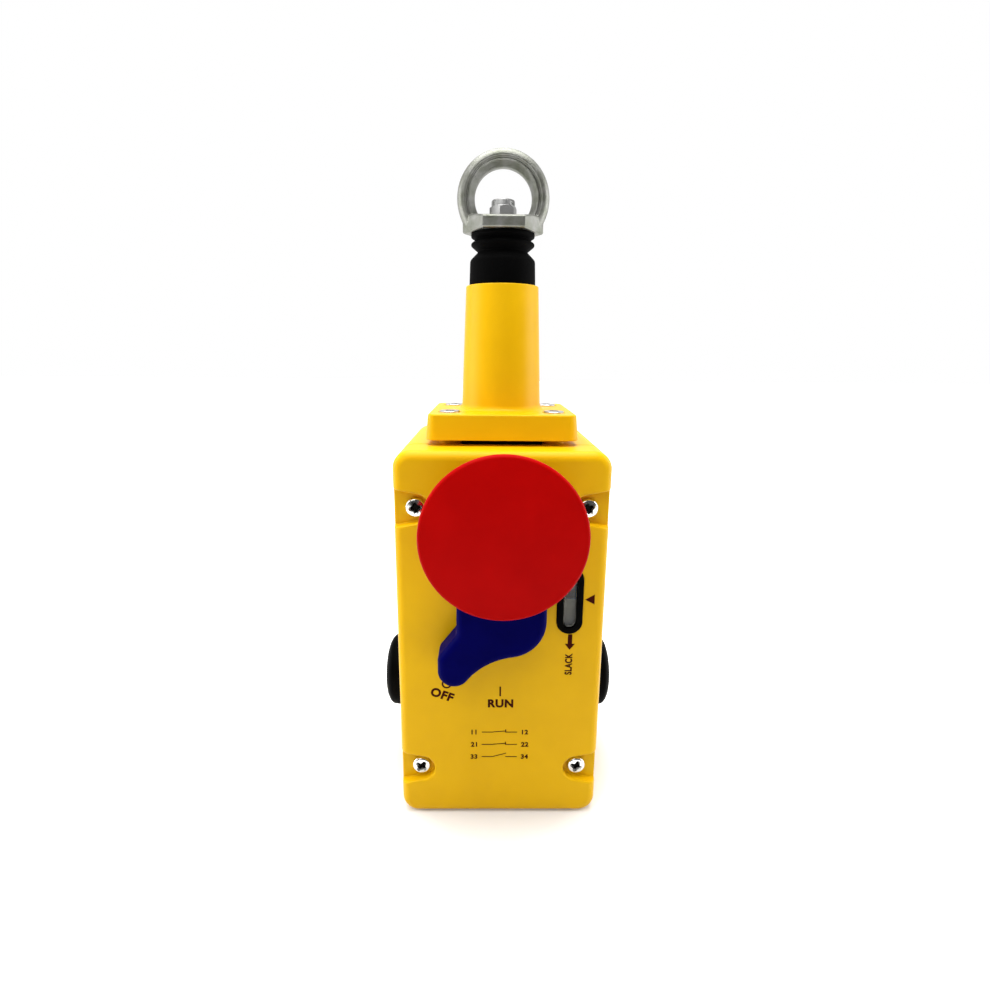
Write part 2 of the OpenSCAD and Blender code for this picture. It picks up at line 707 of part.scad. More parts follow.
module spindle_bush() color(brass) difference() {
    union() {
        y_bar(0, hub_z, [0, wall + bush_flange_t], spindle_bush_r);
        y_bar(0, hub_z, [wall, wall + bush_flange_t], bush_flange_r);
    }
    y_bar(0, hub_z, [-1, wall + bush_flange_t + 1], spindle_r + run_fit);
}

module handle_seal() color(black) difference() {
    y_bar(0, hub_z, [-handle_gap + 0.3, 0], spindle_bush_r + 3);
    y_bar(0, hub_z, [-2, 1], spindle_bush_r - 0.8);
}

// Mushroom with a slightly domed front, a rounded rim and a hollow cone behind
rim_r = 1.4;
crown_r = button_r - 1.9;
module estop_button() color("red") y_turn(0, hub_z) polygon(concat(
    [[0, under_d - spigot_h], [0, -button_reach]],
    [for (i = [1 : 7]) [crown_r * i / 7, -button_reach + (button_crown - rim_r) * pow(i / 7, 2)]],
    arc([button_r - rim_r, -button_stand], rim_r, -75, 0, 3),
    [[button_r, -button_stand + 0.8], [button_r - 0.8, -button_stand + 1.4]],
    [[13, under_d], [rod_r + seat_fit, under_d], [rod_r + seat_fit, under_d - spigot_h]]));

// Turned plunger: a spigot in the button, a thick stem in the spindle, and a thin rod to the contact
module estop_plunger() color(steel) {
    y_bar(0, hub_z, [under_d - spigot_h, under_d], rod_r);
    y_bar(0, hub_z, [under_d, stem_end], stem_r);
    y_bar(0, hub_z, [stem_end, rod_end], rod_r);
}

module estop_spring() color(steel) difference() {
    y_bar(0, hub_z, [stem_end + 0.05, spindle_back - spindle_lip - 0.05], spindle_bore - 0.5);
    y_bar(0, hub_z, [stem_end - 1, spindle_back], spindle_bore - 1.9);
}

module estop_circlip() color(steel) difference() {
    y_bar(0, hub_z, [spindle_back + 0.4, spindle_back + 0.4 + clip_t], rod_r + 2);
    y_bar(0, hub_z, [0, plate_d], rod_r + seat_fit);
    block([-1.5, 1.5], [0, plate_d], [hub_z, hub_z + rod_r + 3]);
}

module estop_bridge() color(brass)
    block([-7.5, 7.5], [rod_end, rod_end + bridge_t], [hub_z - 2.5, hub_z + 2.5]);

module estop_block() color(ivory) difference() {
    block([-estop_block_w, estop_block_w], estop_block_d,
        [hub_z - estop_block_h, hub_z + estop_block_h - 1]);
    block([-8.5, 8.5], [estop_block_d[0] + 1.6, estop_block_d[1] - 1.4], [hub_z - 5, hub_z + 5]);
    y_bar(0, hub_z, [plate_d, rod_end], rod_r + pass_gap);
}

// Right-hand contact block: switching cell, plunger bore and four wire terminals
module contact_block() difference() {
    block([block_x, block_x + block_w], [block_front, back_in], block_z);
    block(cell_x, [axis_d - cell_r, axis_d + cell_r], [plunger_z - cell_h, plunger_z + cell_h]);
    x_bar([block_x - 1, cell_x[0] + 1], axis_d, plunger_z, plunger_r + run_fit);
    for (x = terminal_x, z = terminal_z) {
        block([x - clamp_w / 2 - 0.3, x + clamp_w / 2 + 0.3], [block_front - 1, block_front + terminal_sink],
            [z - clamp_w / 2 - 0.3, z + clamp_w / 2 + 0.3]);
        y_bar(x, z, [block_front, block_front + terminal_len + 0.5], m3_r + seat_fit);
    }
    for (z = block_screw_z)
        y_bar(block_x + block_w / 2, z, [block_front + 24, back_in + 1], m3_r + seat_fit);
}

module contact_block_right() color(ivory) contact_block();
module contact_block_left() color(ivory) mirror([1, 0, 0]) contact_block();

// Screws through the back wall into the blocks
module block_screws() color(steel) left_and_right() for (z = block_screw_z)
    y_bar(block_x + block_w / 2, z, [block_front + 25, back_in], m3_r);

// Plunger with an end cut to the slope of the cam, a hair's breadth off it
module contact_plunger() difference() {
    x_bar([cam_x(plunger_z + plunger_r) - 1, bridge_x], axis_d, plunger_z, plunger_r);
    y_slab(0, 0, [axis_d - 6, axis_d + 6]) polygon([
        [0, cam_foot], [cam_x(cam_foot) + 0.1, cam_foot], [cam_x(cam_top) + 0.1, cam_top], [0, cam_top]]);
}

module contact_plunger_right() color("#c23b22") contact_plunger();
module contact_plunger_left() color("#c23b22") mirror([1, 0, 0]) contact_plunger();

module contact_bridge() block([bridge_x, bridge_x + bridge_t],
    [axis_d - 2.5, axis_d + 2.5], [plunger_z - bridge_half, plunger_z + bridge_half]);

module contact_bridge_right() color(brass) contact_bridge();
module contact_bridge_left() color(brass) mirror([1, 0, 0]) contact_bridge();

module contact_spring() difference() {
    x_bar([bridge_x + bridge_t, cell_x[1]], axis_d, plunger_z, 2.4);
    x_bar([bridge_x, cell_x[1] + 1], axis_d, plunger_z, 1.8);
}

module contact_spring_right() color(steel) contact_spring();
module contact_spring_left() color(steel) mirror([1, 0, 0]) contact_spring();

module fixed_contacts() color(brass) left_and_right() for (z = [-1, 1])
    block([cell_x[0], bridge_x - 0.1], [axis_d - 2.5, axis_d + 2.5],
        [plunger_z + z * contact_z - 1.6, plunger_z + z * contact_z + 1.6]);

module terminal_clamps() color(steel)
    left_and_right() for (x = terminal_x, z = terminal_z) difference() {
        block([x - clamp_w / 2, x + clamp_w / 2], [clamp_d, clamp_d + clamp_t],
            [z - clamp_w / 2, z + clamp_w / 2]);
        y_bar(x, z, [clamp_d - 1, clamp_d + 3], m3_r + seat_fit);
    }

module terminal_screws() color(brass)
    left_and_right() for (x = terminal_x, z = terminal_z) difference() {
        y_screw(x, z, clamp_d, terminal_len, m3_r, m3_head_r, m3_head_h);
        block([x - 3, x + 3], [clamp_d - m3_head_h - 1, clamp_d - 1], [z - 0.4, z + 0.4]);
    }

module earth_clamp() color(steel) difference() {
    block([-earth_clamp_w / 2, earth_clamp_w / 2], [earth_d, earth_d + clamp_t],
        [earth_z - earth_clamp_w / 2, earth_z + earth_clamp_w / 2]);
    y_bar(0, earth_z, [earth_d - 1, back_in], m4_r + seat_fit);
}

module earth_screw() color(brass) difference() {
    y_screw(0, earth_z, earth_d, 9, m4_r, m4_head_r, m4_head_h);
    block([-4.5, 4.5], [earth_d - m4_head_h - 1, earth_d - 2], [earth_z - 0.5, earth_z + 0.5]);
}

module window_bezel() color(black) difference() {
    union() {
        y_slab(window_x, window_z, [-0.8, 0]) pill(bezel_w, bezel_h);
        y_slab(window_x, window_z, [-0.4, wall + 0.3])
            pill(bezel_w - 2 - 2 * seat_fit, bezel_h - 2 - 2 * seat_fit);
    }
    y_slab(window_x, window_z, [-2, wall + 2]) pill(lens_w, lens_h);
}

module window_lens() color("lightgrey", 0.5) y_slab(window_x, window_z, [-0.3, wall - 1])
    pill(lens_w - 2 * seat_fit, lens_h - 2 * seat_fit);

// Blanking plug with a domed head
module conduit_plug() translate([body_w / 2 + seam, face_y + entry_d, entry_z]) rotate([0, 90, 0])
    rotate_extrude() polygon([
        [0, 0.4 - side_thread], [entry_r - 0.1, 0.4 - side_thread], [entry_r - 0.1, 0],
        [plug_r, 0], [plug_r, plug_h * 0.62], [plug_r - 1, plug_h * 0.78],
        [plug_r - 4.5, plug_h * 0.94], [plug_r - 10, plug_h], [0, plug_h]]);

module conduit_plugs() color(black) left_and_right() conduit_plug();

module plug_seals() color("dimgrey") left_and_right() difference() {
    x_bar([body_w / 2, body_w / 2 + seam], entry_d, entry_z, plug_r - 1.2);
    x_bar([body_w / 2 - 1, body_w / 2 + seam + 1], entry_d, entry_z, entry_r + 0.1);
}

rear_housing();
front_cover();
cover_seal();
cover_screws();
pull_head();
head_gasket();
head_screws();
shaft_bush();
shaft_seal();
spring_washer();
main_spring();
spring_collar();
shaft_circlip();
pull_shaft();
bellows();
eye_nut();
lock_nut();
cam_slider();
slider_pin();
slack_indicator();
lower_guide();
guide_screws();
mechanism_plate();
plate_spacers();
plate_screws();
latch_guide_pins();
trip_latch();
reset_handle();
handle_grub_screw();
reset_spindle();
spindle_cam();
cam_pin();
spindle_circlip();
spindle_bush();
handle_seal();
estop_button();
estop_plunger();
estop_spring();
estop_circlip();
estop_bridge();
estop_block();
contact_block_left();
contact_block_right();
block_screws();
contact_plunger_left();
contact_plunger_right();
contact_bridge_left();
contact_bridge_right();
contact_spring_left();
contact_spring_right();
fixed_contacts();
terminal_clamps();
terminal_screws();
earth_clamp();
earth_screw();
window_bezel();
window_lens();
conduit_plugs();
plug_seals();
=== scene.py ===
# %% [markdown]
# # A rope pull switch, piece by piece
#
# A rope pull switch stops a machine when somebody pulls the rope along it. Here is a heavy-duty one: a yellow
# cast housing, a tower with a rubber bellows and an eye for the rope, a red mushroom button in the middle of a
# blue reset handle, and a window that shows how tight the rope is.
#
# The engineering model comes first. It holds every piece, inside and out, and says what moves with what. This
# lesson loads it, keeps the pieces that nobody sees, and models the visible ones again with the roundings,
# casting marks and finishes that a drawing leaves out. Lengths are in millimetres until the last step of each
# mesh, because that is how such a switch is drawn.

# %% Load the engineering model
import json
import math

import bmesh
import bpy
import numpy as np
from mathutils import Matrix, Vector
from mathutils.geometry import tessellate_polygon


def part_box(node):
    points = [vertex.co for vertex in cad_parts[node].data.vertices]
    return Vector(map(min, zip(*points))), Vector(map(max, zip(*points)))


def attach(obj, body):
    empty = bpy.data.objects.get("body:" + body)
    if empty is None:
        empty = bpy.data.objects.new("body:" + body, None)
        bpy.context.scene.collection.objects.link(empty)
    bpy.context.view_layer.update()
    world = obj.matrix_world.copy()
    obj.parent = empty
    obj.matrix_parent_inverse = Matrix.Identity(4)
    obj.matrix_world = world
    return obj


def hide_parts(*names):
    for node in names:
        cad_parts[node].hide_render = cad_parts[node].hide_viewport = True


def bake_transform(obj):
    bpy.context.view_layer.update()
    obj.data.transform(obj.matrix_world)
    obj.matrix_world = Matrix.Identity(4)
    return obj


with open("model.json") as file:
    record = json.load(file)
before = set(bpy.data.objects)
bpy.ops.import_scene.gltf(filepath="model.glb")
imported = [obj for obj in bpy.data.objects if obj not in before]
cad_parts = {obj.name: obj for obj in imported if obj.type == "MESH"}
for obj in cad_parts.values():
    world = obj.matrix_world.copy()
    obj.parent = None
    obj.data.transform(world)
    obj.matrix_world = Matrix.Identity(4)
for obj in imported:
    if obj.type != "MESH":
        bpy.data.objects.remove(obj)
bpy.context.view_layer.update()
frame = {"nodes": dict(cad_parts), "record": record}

MM = 0.001
TURN = 2 * np.pi

# %% [markdown]
# ## Places
#
# Every place is read from the engineering model, so that a change of size there carries over to here. `span`
# gives the two opposite corners of a piece, and the lines below it name the few planes and axes that the rest
# of the lesson hangs on. X points to the right, Y to the back and Z up.

# %% Planes and axes
def span(node):
    """Lowest and highest corner of an engineering piece, in millimetres."""
    low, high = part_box(node)
    return np.array(low) / MM, np.array(high) / MM


cover_low, cover_high = span("front_cover")
housing_low, housing_high = span("rear_housing")
head_low, head_high = span("pull_head")
face_y = cover_low[1]
half_w = cover_high[0]
body_h = cover_high[2]
mid_z = body_h / 2
cover_d = cover_high[1] - face_y
body_d = housing_high[1] - face_y
hub_z = sum(end[2] for end in span("reset_spindle")) / 2
shaft_y = sum(end[1] for end in span("pull_shaft")) / 2
wall, corner_r = 3.6, 7.0
print(f"cover {2 * half_w:.1f} x {cover_d:.1f} x {body_h:.1f} mm, hub at {hub_z:.1f}, shaft at {shaft_y:.1f}")

# %% [markdown]
# ## Shader maths that reads like Python
#
# A finish is a small program: noise here, a mask there, mixed into a colour. Wiring each node by hand hides
# that, so a `Value` stands for one socket and turns each `+`, `-` or `*` into a Math node. `Nodes` holds one
# tree, and its one method adds every other kind of node.

# %% Values and nodes
class Value:
    """A socket that takes part in sums: each operator adds one Math node."""

    def __init__(self, nodes, socket):
        self.nodes, self.socket = nodes, socket

    def sum(self, operation, *values):
        """The socket of a new Math node that works out the operation on two values."""
        return self.nodes.node("ShaderNodeMath", {"operation": operation}, *values)

    def __add__(self, other):
        return self.sum("ADD", self, other)

    def __sub__(self, other):
        return self.sum("SUBTRACT", self, other)

    def __rsub__(self, other):
        return self.sum("SUBTRACT", other, self)

    def __mul__(self, other):
        return self.sum("MULTIPLY", self, other)

    __radd__, __rmul__ = __add__, __mul__


class Nodes:
    """The nodes of one material, or of the world."""

    def __init__(self, tree):
        self.tree = tree

    def node(self, kind, settings, *values, out=0, at=None, **named):
        """Adds a node: its settings first, then the values or links of its sockets, given in order, by their
        index in at, or by name. The result is its output number or name out."""
        node = self.tree.nodes.new(kind)
        for name, value in settings.items():
            setattr(node, name, value)
        by_name = {name.replace("_", " "): value for name, value in named.items()}
        for key, value in [*enumerate(values), *(at or {}).items(), *by_name.items()]:
            self.set(node.inputs[key], value)
        return Value(self, node.outputs[out])

    def set(self, socket, value):
        """Links a Value to a socket, or sets a plain number or colour there."""
        if isinstance(value, Value):
            self.tree.links.new(value.socket, socket)
        else:
            socket.default_value = value


operators = [name for name in vars(Value) if name.strip("_")[-3:] in ("add", "sub", "mul")]
print("operators of a Value:", ", ".join(operators))

# %% [markdown]
# A `Finish` is a material with one shader. Its helpers give the three things that every finish below is made
# of: noise of a known size, a ramp that turns noise into a mask, and a mix of two colours.

# %% Finishes
class Finish(Nodes):
    """One material with one shader. Keyword values are set on the shader's own sockets."""

    def __init__(self, name, **fixed):
        self.material = bpy.data.materials.new(name)
        self.material.use_nodes = True
        super().__init__(self.material.node_tree)
        self.shader = self.tree.nodes["Principled BSDF"]
        for socket, value in fixed.items():
            self.feed(socket.replace("_", " "), value)
        self.place = self.node("ShaderNodeTexCoord", {}, out="Object")

    def noise(self, size, detail=2.0):
        """Soft noise from 0 to 1 whose blobs are about size millimetres across."""
        return self.node("ShaderNodeTexNoise", {}, Vector=self.place, Scale=1 / (size * MM), Detail=detail)

    def ramp(self, value, low, high, at_low=0.0, at_high=1.0):
        """A clamped straight ramp from at_low to at_high as value goes from low to high."""
        return self.node("ShaderNodeMapRange", {}, value, low, high, at_low, at_high)

    def mix(self, factor, first, second):
        """The colour between first and second; factor 1 gives the second."""
        first, second = (tint if isinstance(tint, Value) else (*tint, 1) for tint in (first, second))
        return self.node("ShaderNodeMix", {"data_type": "RGBA"}, at={0: factor, 6: first, 7: second}, out=2)

    def feed(self, socket, value):
        """Sets one of the shader's sockets, or links a Value to it."""
        self.set(self.shader.inputs[socket], value)

    def bump(self, height, depth, strength=1.0):
        """Lets height, from 0 to 1, raise the surface by up to depth millimetres in the light."""
        self.feed("Normal", self.node("ShaderNodeBump", {}, strength, depth * MM, Height=height))


print("a Finish has the helpers", ", ".join(name for name in vars(Finish) if name[0] != "_"))

# %% [markdown]
# ## Finishes of the visible pieces
#
# The castings wear a thick yellow enamel: it is even in colour, but it flows, so that a low sun would show the
# faint waviness that painters call orange peel. The button is moulded in one pigment, with the fine texture of
# its mould, and so are the handle, the plugs and the bezel. Each noise below has the size of the real texture.

# %% Enamel, plastics and rubber
def enamel():
    """Yellow pigment in faint clouds 26 mm across, orange peel of 1.7 mm and a few darker pits of 0.35 mm."""
    finish = Finish("yellow enamel", Specular_IOR_Level=0.11)
    cloud, peel, pit = finish.noise(26, 3), finish.noise(1.7, 2), finish.noise(0.35, 1)
    body = finish.mix(finish.ramp(cloud, 0.3, 0.7), (0.76, 0.425, 0.001), (0.82, 0.47, 0.0015))
    finish.feed("Base Color", finish.mix(finish.ramp(pit, 0.66, 0.74) * 0.3, body, (0.66, 0.36, 0.001)))
    finish.feed("Roughness", 0.3 + 0.12 * finish.ramp(cloud, 0.2, 0.8))
    finish.bump(0.8 * peel + 0.2 * pit, 0.02)
    return finish


def moulded(name, dark, light, roughness, shine, grain=0.28, depth=0.012):
    """A moulded plastic, rubber or ink: clouded pigment, and grain of a size and depth in millimetres. shine is
    the specular level."""
    finish = Finish(name, Specular_IOR_Level=shine)
    cloud, fine = finish.noise(14, 3), finish.noise(grain, 2)
    finish.feed("Base Color", finish.mix(finish.ramp(cloud, 0.3, 0.7), dark, light))
    finish.feed("Roughness", roughness + 0.1 * finish.ramp(fine, 0.3, 0.7))
    finish.bump(fine, depth)
    return finish


yellow = enamel()
red = moulded("red plastic", (0.41, 0.0006, 0.0005), (0.46, 0.001, 0.0008), 0.4, 0.03)
blue = moulded("blue plastic", (0.0006, 0.0004, 0.062), (0.0008, 0.0008, 0.08), 0.36, 0.012)
black = moulded("black plastic", (0.001, 0.001, 0.001), (0.0022, 0.002, 0.002), 0.42, 0.012, 0.4, 0.02)
rubber = moulded("black rubber", (0.001, 0.001, 0.001), (0.002, 0.002, 0.002), 0.6, 0.015, 0.5, 0.03)
ivory = moulded("ivory plastic", (0.56, 0.51, 0.4), (0.62, 0.57, 0.46), 0.45, 0.4)
ink = moulded("printing ink", (0.04, 0.004, 0.002), (0.055, 0.006, 0.003), 0.5, 0.02)
print("made:", ", ".join(finish.material.name for finish in (yellow, red, blue, black, rubber, ivory, ink)))

# %% [markdown]
# The metals differ in how they were made. The eye is cast and plated, so its skin is dull and grainy. The cover
# screws are bright zinc, with painted shade at the bottom of their recesses, the nut's zinc has gone a little dull,
# and the indicator in the window is pressed steel coloured nearly black as painted shade, for the shadow behind the
# window. Turned pieces inside are smooth with the finest grain, and the brass is warm and a little stained.

# %% Metals
def metal(name, dark, light, roughness, grain, depth):
    """Bare metal: colour clouds, a roughness that wanders by 0.12, and grain of a size and depth in millimetres."""
    finish = Finish(name, Metallic=1.0)
    cloud, fine = finish.noise(5, 4), finish.noise(grain, 3)
    finish.feed("Base Color", finish.mix(finish.ramp(cloud, 0.3, 0.7), dark, light))
    finish.feed("Roughness", roughness + 0.12 * finish.ramp(cloud * 0.6 + fine * 0.4, 0.3, 0.7))
    finish.bump(fine, depth)
    return finish


cast = metal("cast eye metal", (0.14, 0.146, 0.115), (0.25, 0.25, 0.236), 0.4, 0.45, 0.1)
bright = metal("bright zinc", (0.66, 0.66, 0.65), (0.76, 0.76, 0.75), 0.16, 0.9, 0.004)
plated = metal("zinc of the nut", (0.36, 0.36, 0.355), (0.44, 0.44, 0.43), 0.42, 0.9, 0.01)
# painted shade: the indicator's steel is coloured nearly black for the shadow behind the window
pressed = metal("pressed steel darkened as painted shade", (0.04, 0.035, 0.027), (0.07, 0.06, 0.046), 0.36, 0.3, 0.006)
turned = metal("turned steel", (0.42, 0.42, 0.43), (0.52, 0.52, 0.53), 0.26, 0.2, 0.004)
brass = metal("brass", (0.55, 0.36, 0.12), (0.66, 0.45, 0.17), 0.24, 0.3, 0.004)
print("made:", ", ".join(finish.material.name for finish in (cast, bright, plated, pressed, turned, brass)))

# %% [markdown]
# The lens is a clear moulding. Glass in a renderer is one shader with full transmission, and a breath of haze
# in its roughness keeps it from looking like a hole.

# %% Lens
clear = Finish("clear lens", Transmission_Weight=1.0, IOR=1.3, Base_Color=(0.8, 0.82, 0.78, 1))
clear.feed("Roughness", 0.03 + 0.06 * clear.noise(3, 2))
finishes = {
    "yellow_enamel": yellow, "red_plastic": red, "blue_plastic": blue, "black_plastic": black,
    "black_rubber": rubber, "cast_eye": cast, "bright_steel": bright, "turned_steel": turned,
    "brass": brass, "ivory_plastic": ivory, "clear_lens": clear,
}
print("finishes:", ", ".join(finishes))

# %% [markdown]
# ## The pieces that nobody sees
#
# Behind the cover sit the shaft with its cam, the latch, the contact blocks and their terminals. Their shapes
# are right as the engineering model has them, so each one only gets the finish of its material slot. The
# visible ones get it too, and are replaced further on. One piece can be seen and stays all the same: the end
# of the slack indicator, which hangs behind the window. It is pressed steel, coloured much darker than the rest of
# its slot as painted shade for the shadow behind the window.

# %% Finishes on the engineering pieces
slot_of = {part["node"]: part["material_slot"] for part in frame["record"]["subparts"]}
body_of = {node: body for body, nodes in frame["record"]["behaviour"]["bodies"].items() for node in nodes}
for node, obj in frame["nodes"].items():
    obj.data.materials.clear()
    obj.data.materials.append((pressed if node == "slack_indicator" else finishes[slot_of[node]]).material)
print(len(slot_of), "engineering pieces have their finish")

# %% [markdown]
# ## Tools for surfaces
#
# Every new piece is made of nets. A net is an array of points, ring after ring, each ring with as many points,
# and each four neighbours make a face. Flat ends are filled with triangles. `Skin` collects nets and fills and
# welds them where they meet. All the arithmetic is done on whole arrays, which is short and fast.

# %% Skin
class Skin:
    """Gathers nets and flat fills, given in millimetres, and welds them into one mesh."""

    def __init__(self):
        self.points, self.faces, self.count = [], [], 0

    def keep(self, points, faces):
        """Adds points, and faces that number them from 0."""
        self.points.append(points.reshape(-1, 3))
        self.faces += (np.asarray(faces) + self.count).tolist()
        self.count += len(self.points[-1])

    def net(self, rings, closed=True):
        """Quads over rings[k, i], point i of ring k. A closed net joins its last column to its first."""
        index = np.arange(rings.shape[0] * rings.shape[1]).reshape(rings.shape[:2])
        if closed:
            index = np.hstack([index, index[:, :1]])
        corners = index[:-1, :-1], index[:-1, 1:], index[1:, 1:], index[1:, :-1]
        self.keep(rings, np.stack(corners, -1).reshape(-1, 4))

    def fill(self, *loops):
        """Triangles over the flat area inside the first loop and outside the others."""
        self.keep(np.concatenate(loops), tessellate_polygon([[Vector(p) for p in loop] for loop in loops]))

    def tube(self, rings):
        """A net with a fill over its first and its last ring."""
        self.net(rings)
        self.fill(rings[0])
        self.fill(rings[-1])

    def mesh(self, name, at=(0, 0, 0)):
        """One mesh in metres, moved to the place at, welded, with its faces outwards."""
        mesh = bpy.data.meshes.new(name)
        mesh.from_pydata((np.concatenate(self.points) + np.array(at)) * MM, [], self.faces)
        work = bmesh.new()
        work.from_mesh(mesh)
        bmesh.ops.remove_doubles(work, verts=work.verts, dist=0.002 * MM)
        bmesh.ops.recalc_face_normals(work, faces=work.faces)
        work.to_mesh(mesh)
        work.free()
        return mesh


trial = Skin()
trial.net(np.zeros((3, 8, 3)))
print("three rings of 8 points make", len(trial.faces), "faces")

# %% [markdown]
# A finished mesh becomes a piece. It takes the place of one engineering piece, wears the finish of its slot and
# rides on the same body. Edges sharper than a given angle stay crisp and the rest is shaded smooth.

# %% Pieces
def piece(name, mesh, node, sharp=38, flat=False, rides=True, stands_in=True, finish=None):
    """Puts a mesh in the scene as the piece that stands for an engineering node, with its finish and its body.
    flat keeps large flat faces evenly lit up to their rounded edges."""
    obj = bpy.data.objects.new(name, mesh)
    bpy.context.scene.collection.objects.link(obj)
    mesh.materials.clear()
    mesh.materials.append((finish or finishes[slot_of[node]]).material)
    mesh.shade_smooth()
    mesh.set_sharp_from_angle(angle=math.radians(sharp))
    if rides:
        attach(obj, body_of[node])
    if stands_in:
        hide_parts(node)
    if flat:
        obj.modifiers.new("even light", "WEIGHTED_NORMAL").keep_sharp = True
    print(f"{name}: {len(mesh.polygons)} faces")
    return obj


print("bodies to ride on:", ", ".join(sorted(set(body_of.values()))))

# %% [markdown]
# Two shapes come back again and again: a profile turned about an axis, and a profile carried round a rounded
# outline. The first makes screws, plugs, the tower and the button. The second makes castings. Both start from
# a few corner points, and `rounded` bends the line round each of them.

# %% Turning
# for each axis, which of these three is x, y and z: 0 is r cos a, 1 is r sin a, 2 is along the axis
AXES = {"z": (0, 1, 2), "y": (0, 2, 1), "x": (2, 0, 1)}


def turned_rings(profile, axis="z", centre=(0, 0, 0), steps=72):
    """Rings of a turned piece: for each (r, h) of the profile, the points centre + r (cos a, sin a) across the
    axis + h along it."""
    r, h = np.array(profile, float).T
    a = np.arange(steps) / steps * TURN
    parts = np.outer(r, np.cos(a)), np.outer(r, np.sin(a)), np.repeat(h[:, None], steps, 1)
    return np.stack([parts[k] for k in AXES[axis]], -1) + np.array(centre)


def bar_line(start, stop, radius):
    """Profile of a round bar with flat ends."""
    return [(0, start), (radius, start), (radius, stop), (0, stop)]


def rounded(points, radius, steps=4):
    """A polyline whose inner corners become arcs: each corner point P turns into a curve from P - radius (unit
    way in) to P + radius (unit way out), weighted (1-t)^2, 2t(1-t), t^2."""
    points = np.array(points, float)
    way = np.diff(points, axis=0)
    length = np.linalg.norm(way, axis=1, keepdims=True)
    way = way / length
    room = 0.49 * np.minimum(length[:-1, 0], length[1:, 0])
    cut = np.minimum(np.broadcast_to(radius, len(points) - 2), room)[:, None]
    first, middle, last = points[1:-1] - cut * way[:-1], points[1:-1], points[1:-1] + cut * way[1:]
    t = np.linspace(0, 1, steps + 1)[None, :, None]
    bend = (1 - t) ** 2 * first[:, None] + 2 * t * (1 - t) * middle[:, None] + t ** 2 * last[:, None]
    return np.concatenate([points[:1], bend.reshape(-1, 2), points[-1:]])


print("a bar of 72 columns is a net of", turned_rings(bar_line(0, 1, 1)).shape[:2], "points")

# %% [markdown]
# Outlines are arcs joined end to end, and edges are quarter rounds. A profile that goes round an outline is a
# list of pairs: how far it stands in from the outline, and how deep it lies. `lofted` works out the rings.

# %% Outlines
def arc(centre, radius, start, stop, steps):
    """Points centre + radius (cos a, sin a), for a from start to stop degrees."""
    a = np.radians(np.linspace(start, stop, steps + 1))
    return np.array(centre) + radius * np.stack([np.cos(a), np.sin(a)], 1)


def fillet(radius, steps):
    """A quarter round from a face to a side, as (inset, depth): (radius (1 - sin t), radius (1 - cos t))."""
    t = np.linspace(0, np.pi / 2, steps + 1)
    return np.stack([radius * (1 - np.sin(t)), radius * (1 - np.cos(t))], 1)


def lofted(outline, normals, profile):
    """Rings (x, depth, v), one for each (inset, depth) of the profile: the outline less inset times its normal."""
    inset, depth = np.array(profile, float).T
    plan = outline[None] - inset[:, None, None] * normals[None]
    return np.stack([plan[..., 0], np.broadcast_to(depth[:, None], plan.shape[:2]), plan[..., 1]], -1)


def hexagon(angle):
    """How much further out the outline of a hexagon lies at an angle than the middles of its sides."""
    return 1 / np.cos(angle % (TURN / 6) - TURN / 12)


print("an edge of radius 1:", fillet(1, 2).round(2).tolist())

# %% [markdown]
# ## The cover, one quarter at a time
#
# The cover is a cast shell with a rounded rim and four notches that let the screw heads sink in. A box with
# rounded edges and four Boolean cuts would leave knife-sharp lips at the notches, and paint never sits on those.
# So each notch is drawn as a net of its own: its columns walk along the notch's edge, and its rows go from the
# flat land over a small lip, down the wall and round into the floor. Where the notch opens at the side it runs
# over the rounded rim, so those columns stand at the same distances from the side as the rim's own rings. Here
# they are called lanes.

# %% Lanes of the rim, and the notch's measures
rim_r = 3.5
lean_of_lane = np.radians(np.linspace(90, 0, 9))
lane, lane_depth = rim_r * (1 - np.sin(lean_of_lane)), rim_r * (1 - np.cos(lean_of_lane))
LANES = len(lane)
FLAT = 3  # the notch's floor is flat inwards of this lane
screw_low, screw_high = span("cover_screws")
pan_r = 3.9
notch_x, notch_v = screw_high[0] - pan_r, screw_high[2] - pan_r - mid_z
notch_floor, notch_r, mouth = 4.0, 5.8, 7.5
land_w, lip_r, foot_r = 3, 0.8, 0.35
print(f"notches {2 * notch_x:.1f} mm and {2 * notch_v:.1f} mm apart, {LANES} lanes")

# %% [markdown]
# The notch's outline is a straight run along the mouth and an arc round the screw. Its height over the cover's
# face follows the rim where it is near the side, in both the land and the floor. In words: at a distance d from
# the side, a surface with an edge round of radius r lies deeper by r - sqrt(r^2 - (r - d)^2).

# %% A notch
def edge_drop(radius, from_side):
    """How much deeper a surface lies at a distance from its side, when that side has a quarter round."""
    return radius - np.sqrt(radius ** 2 - np.maximum(radius - from_side, 0) ** 2)


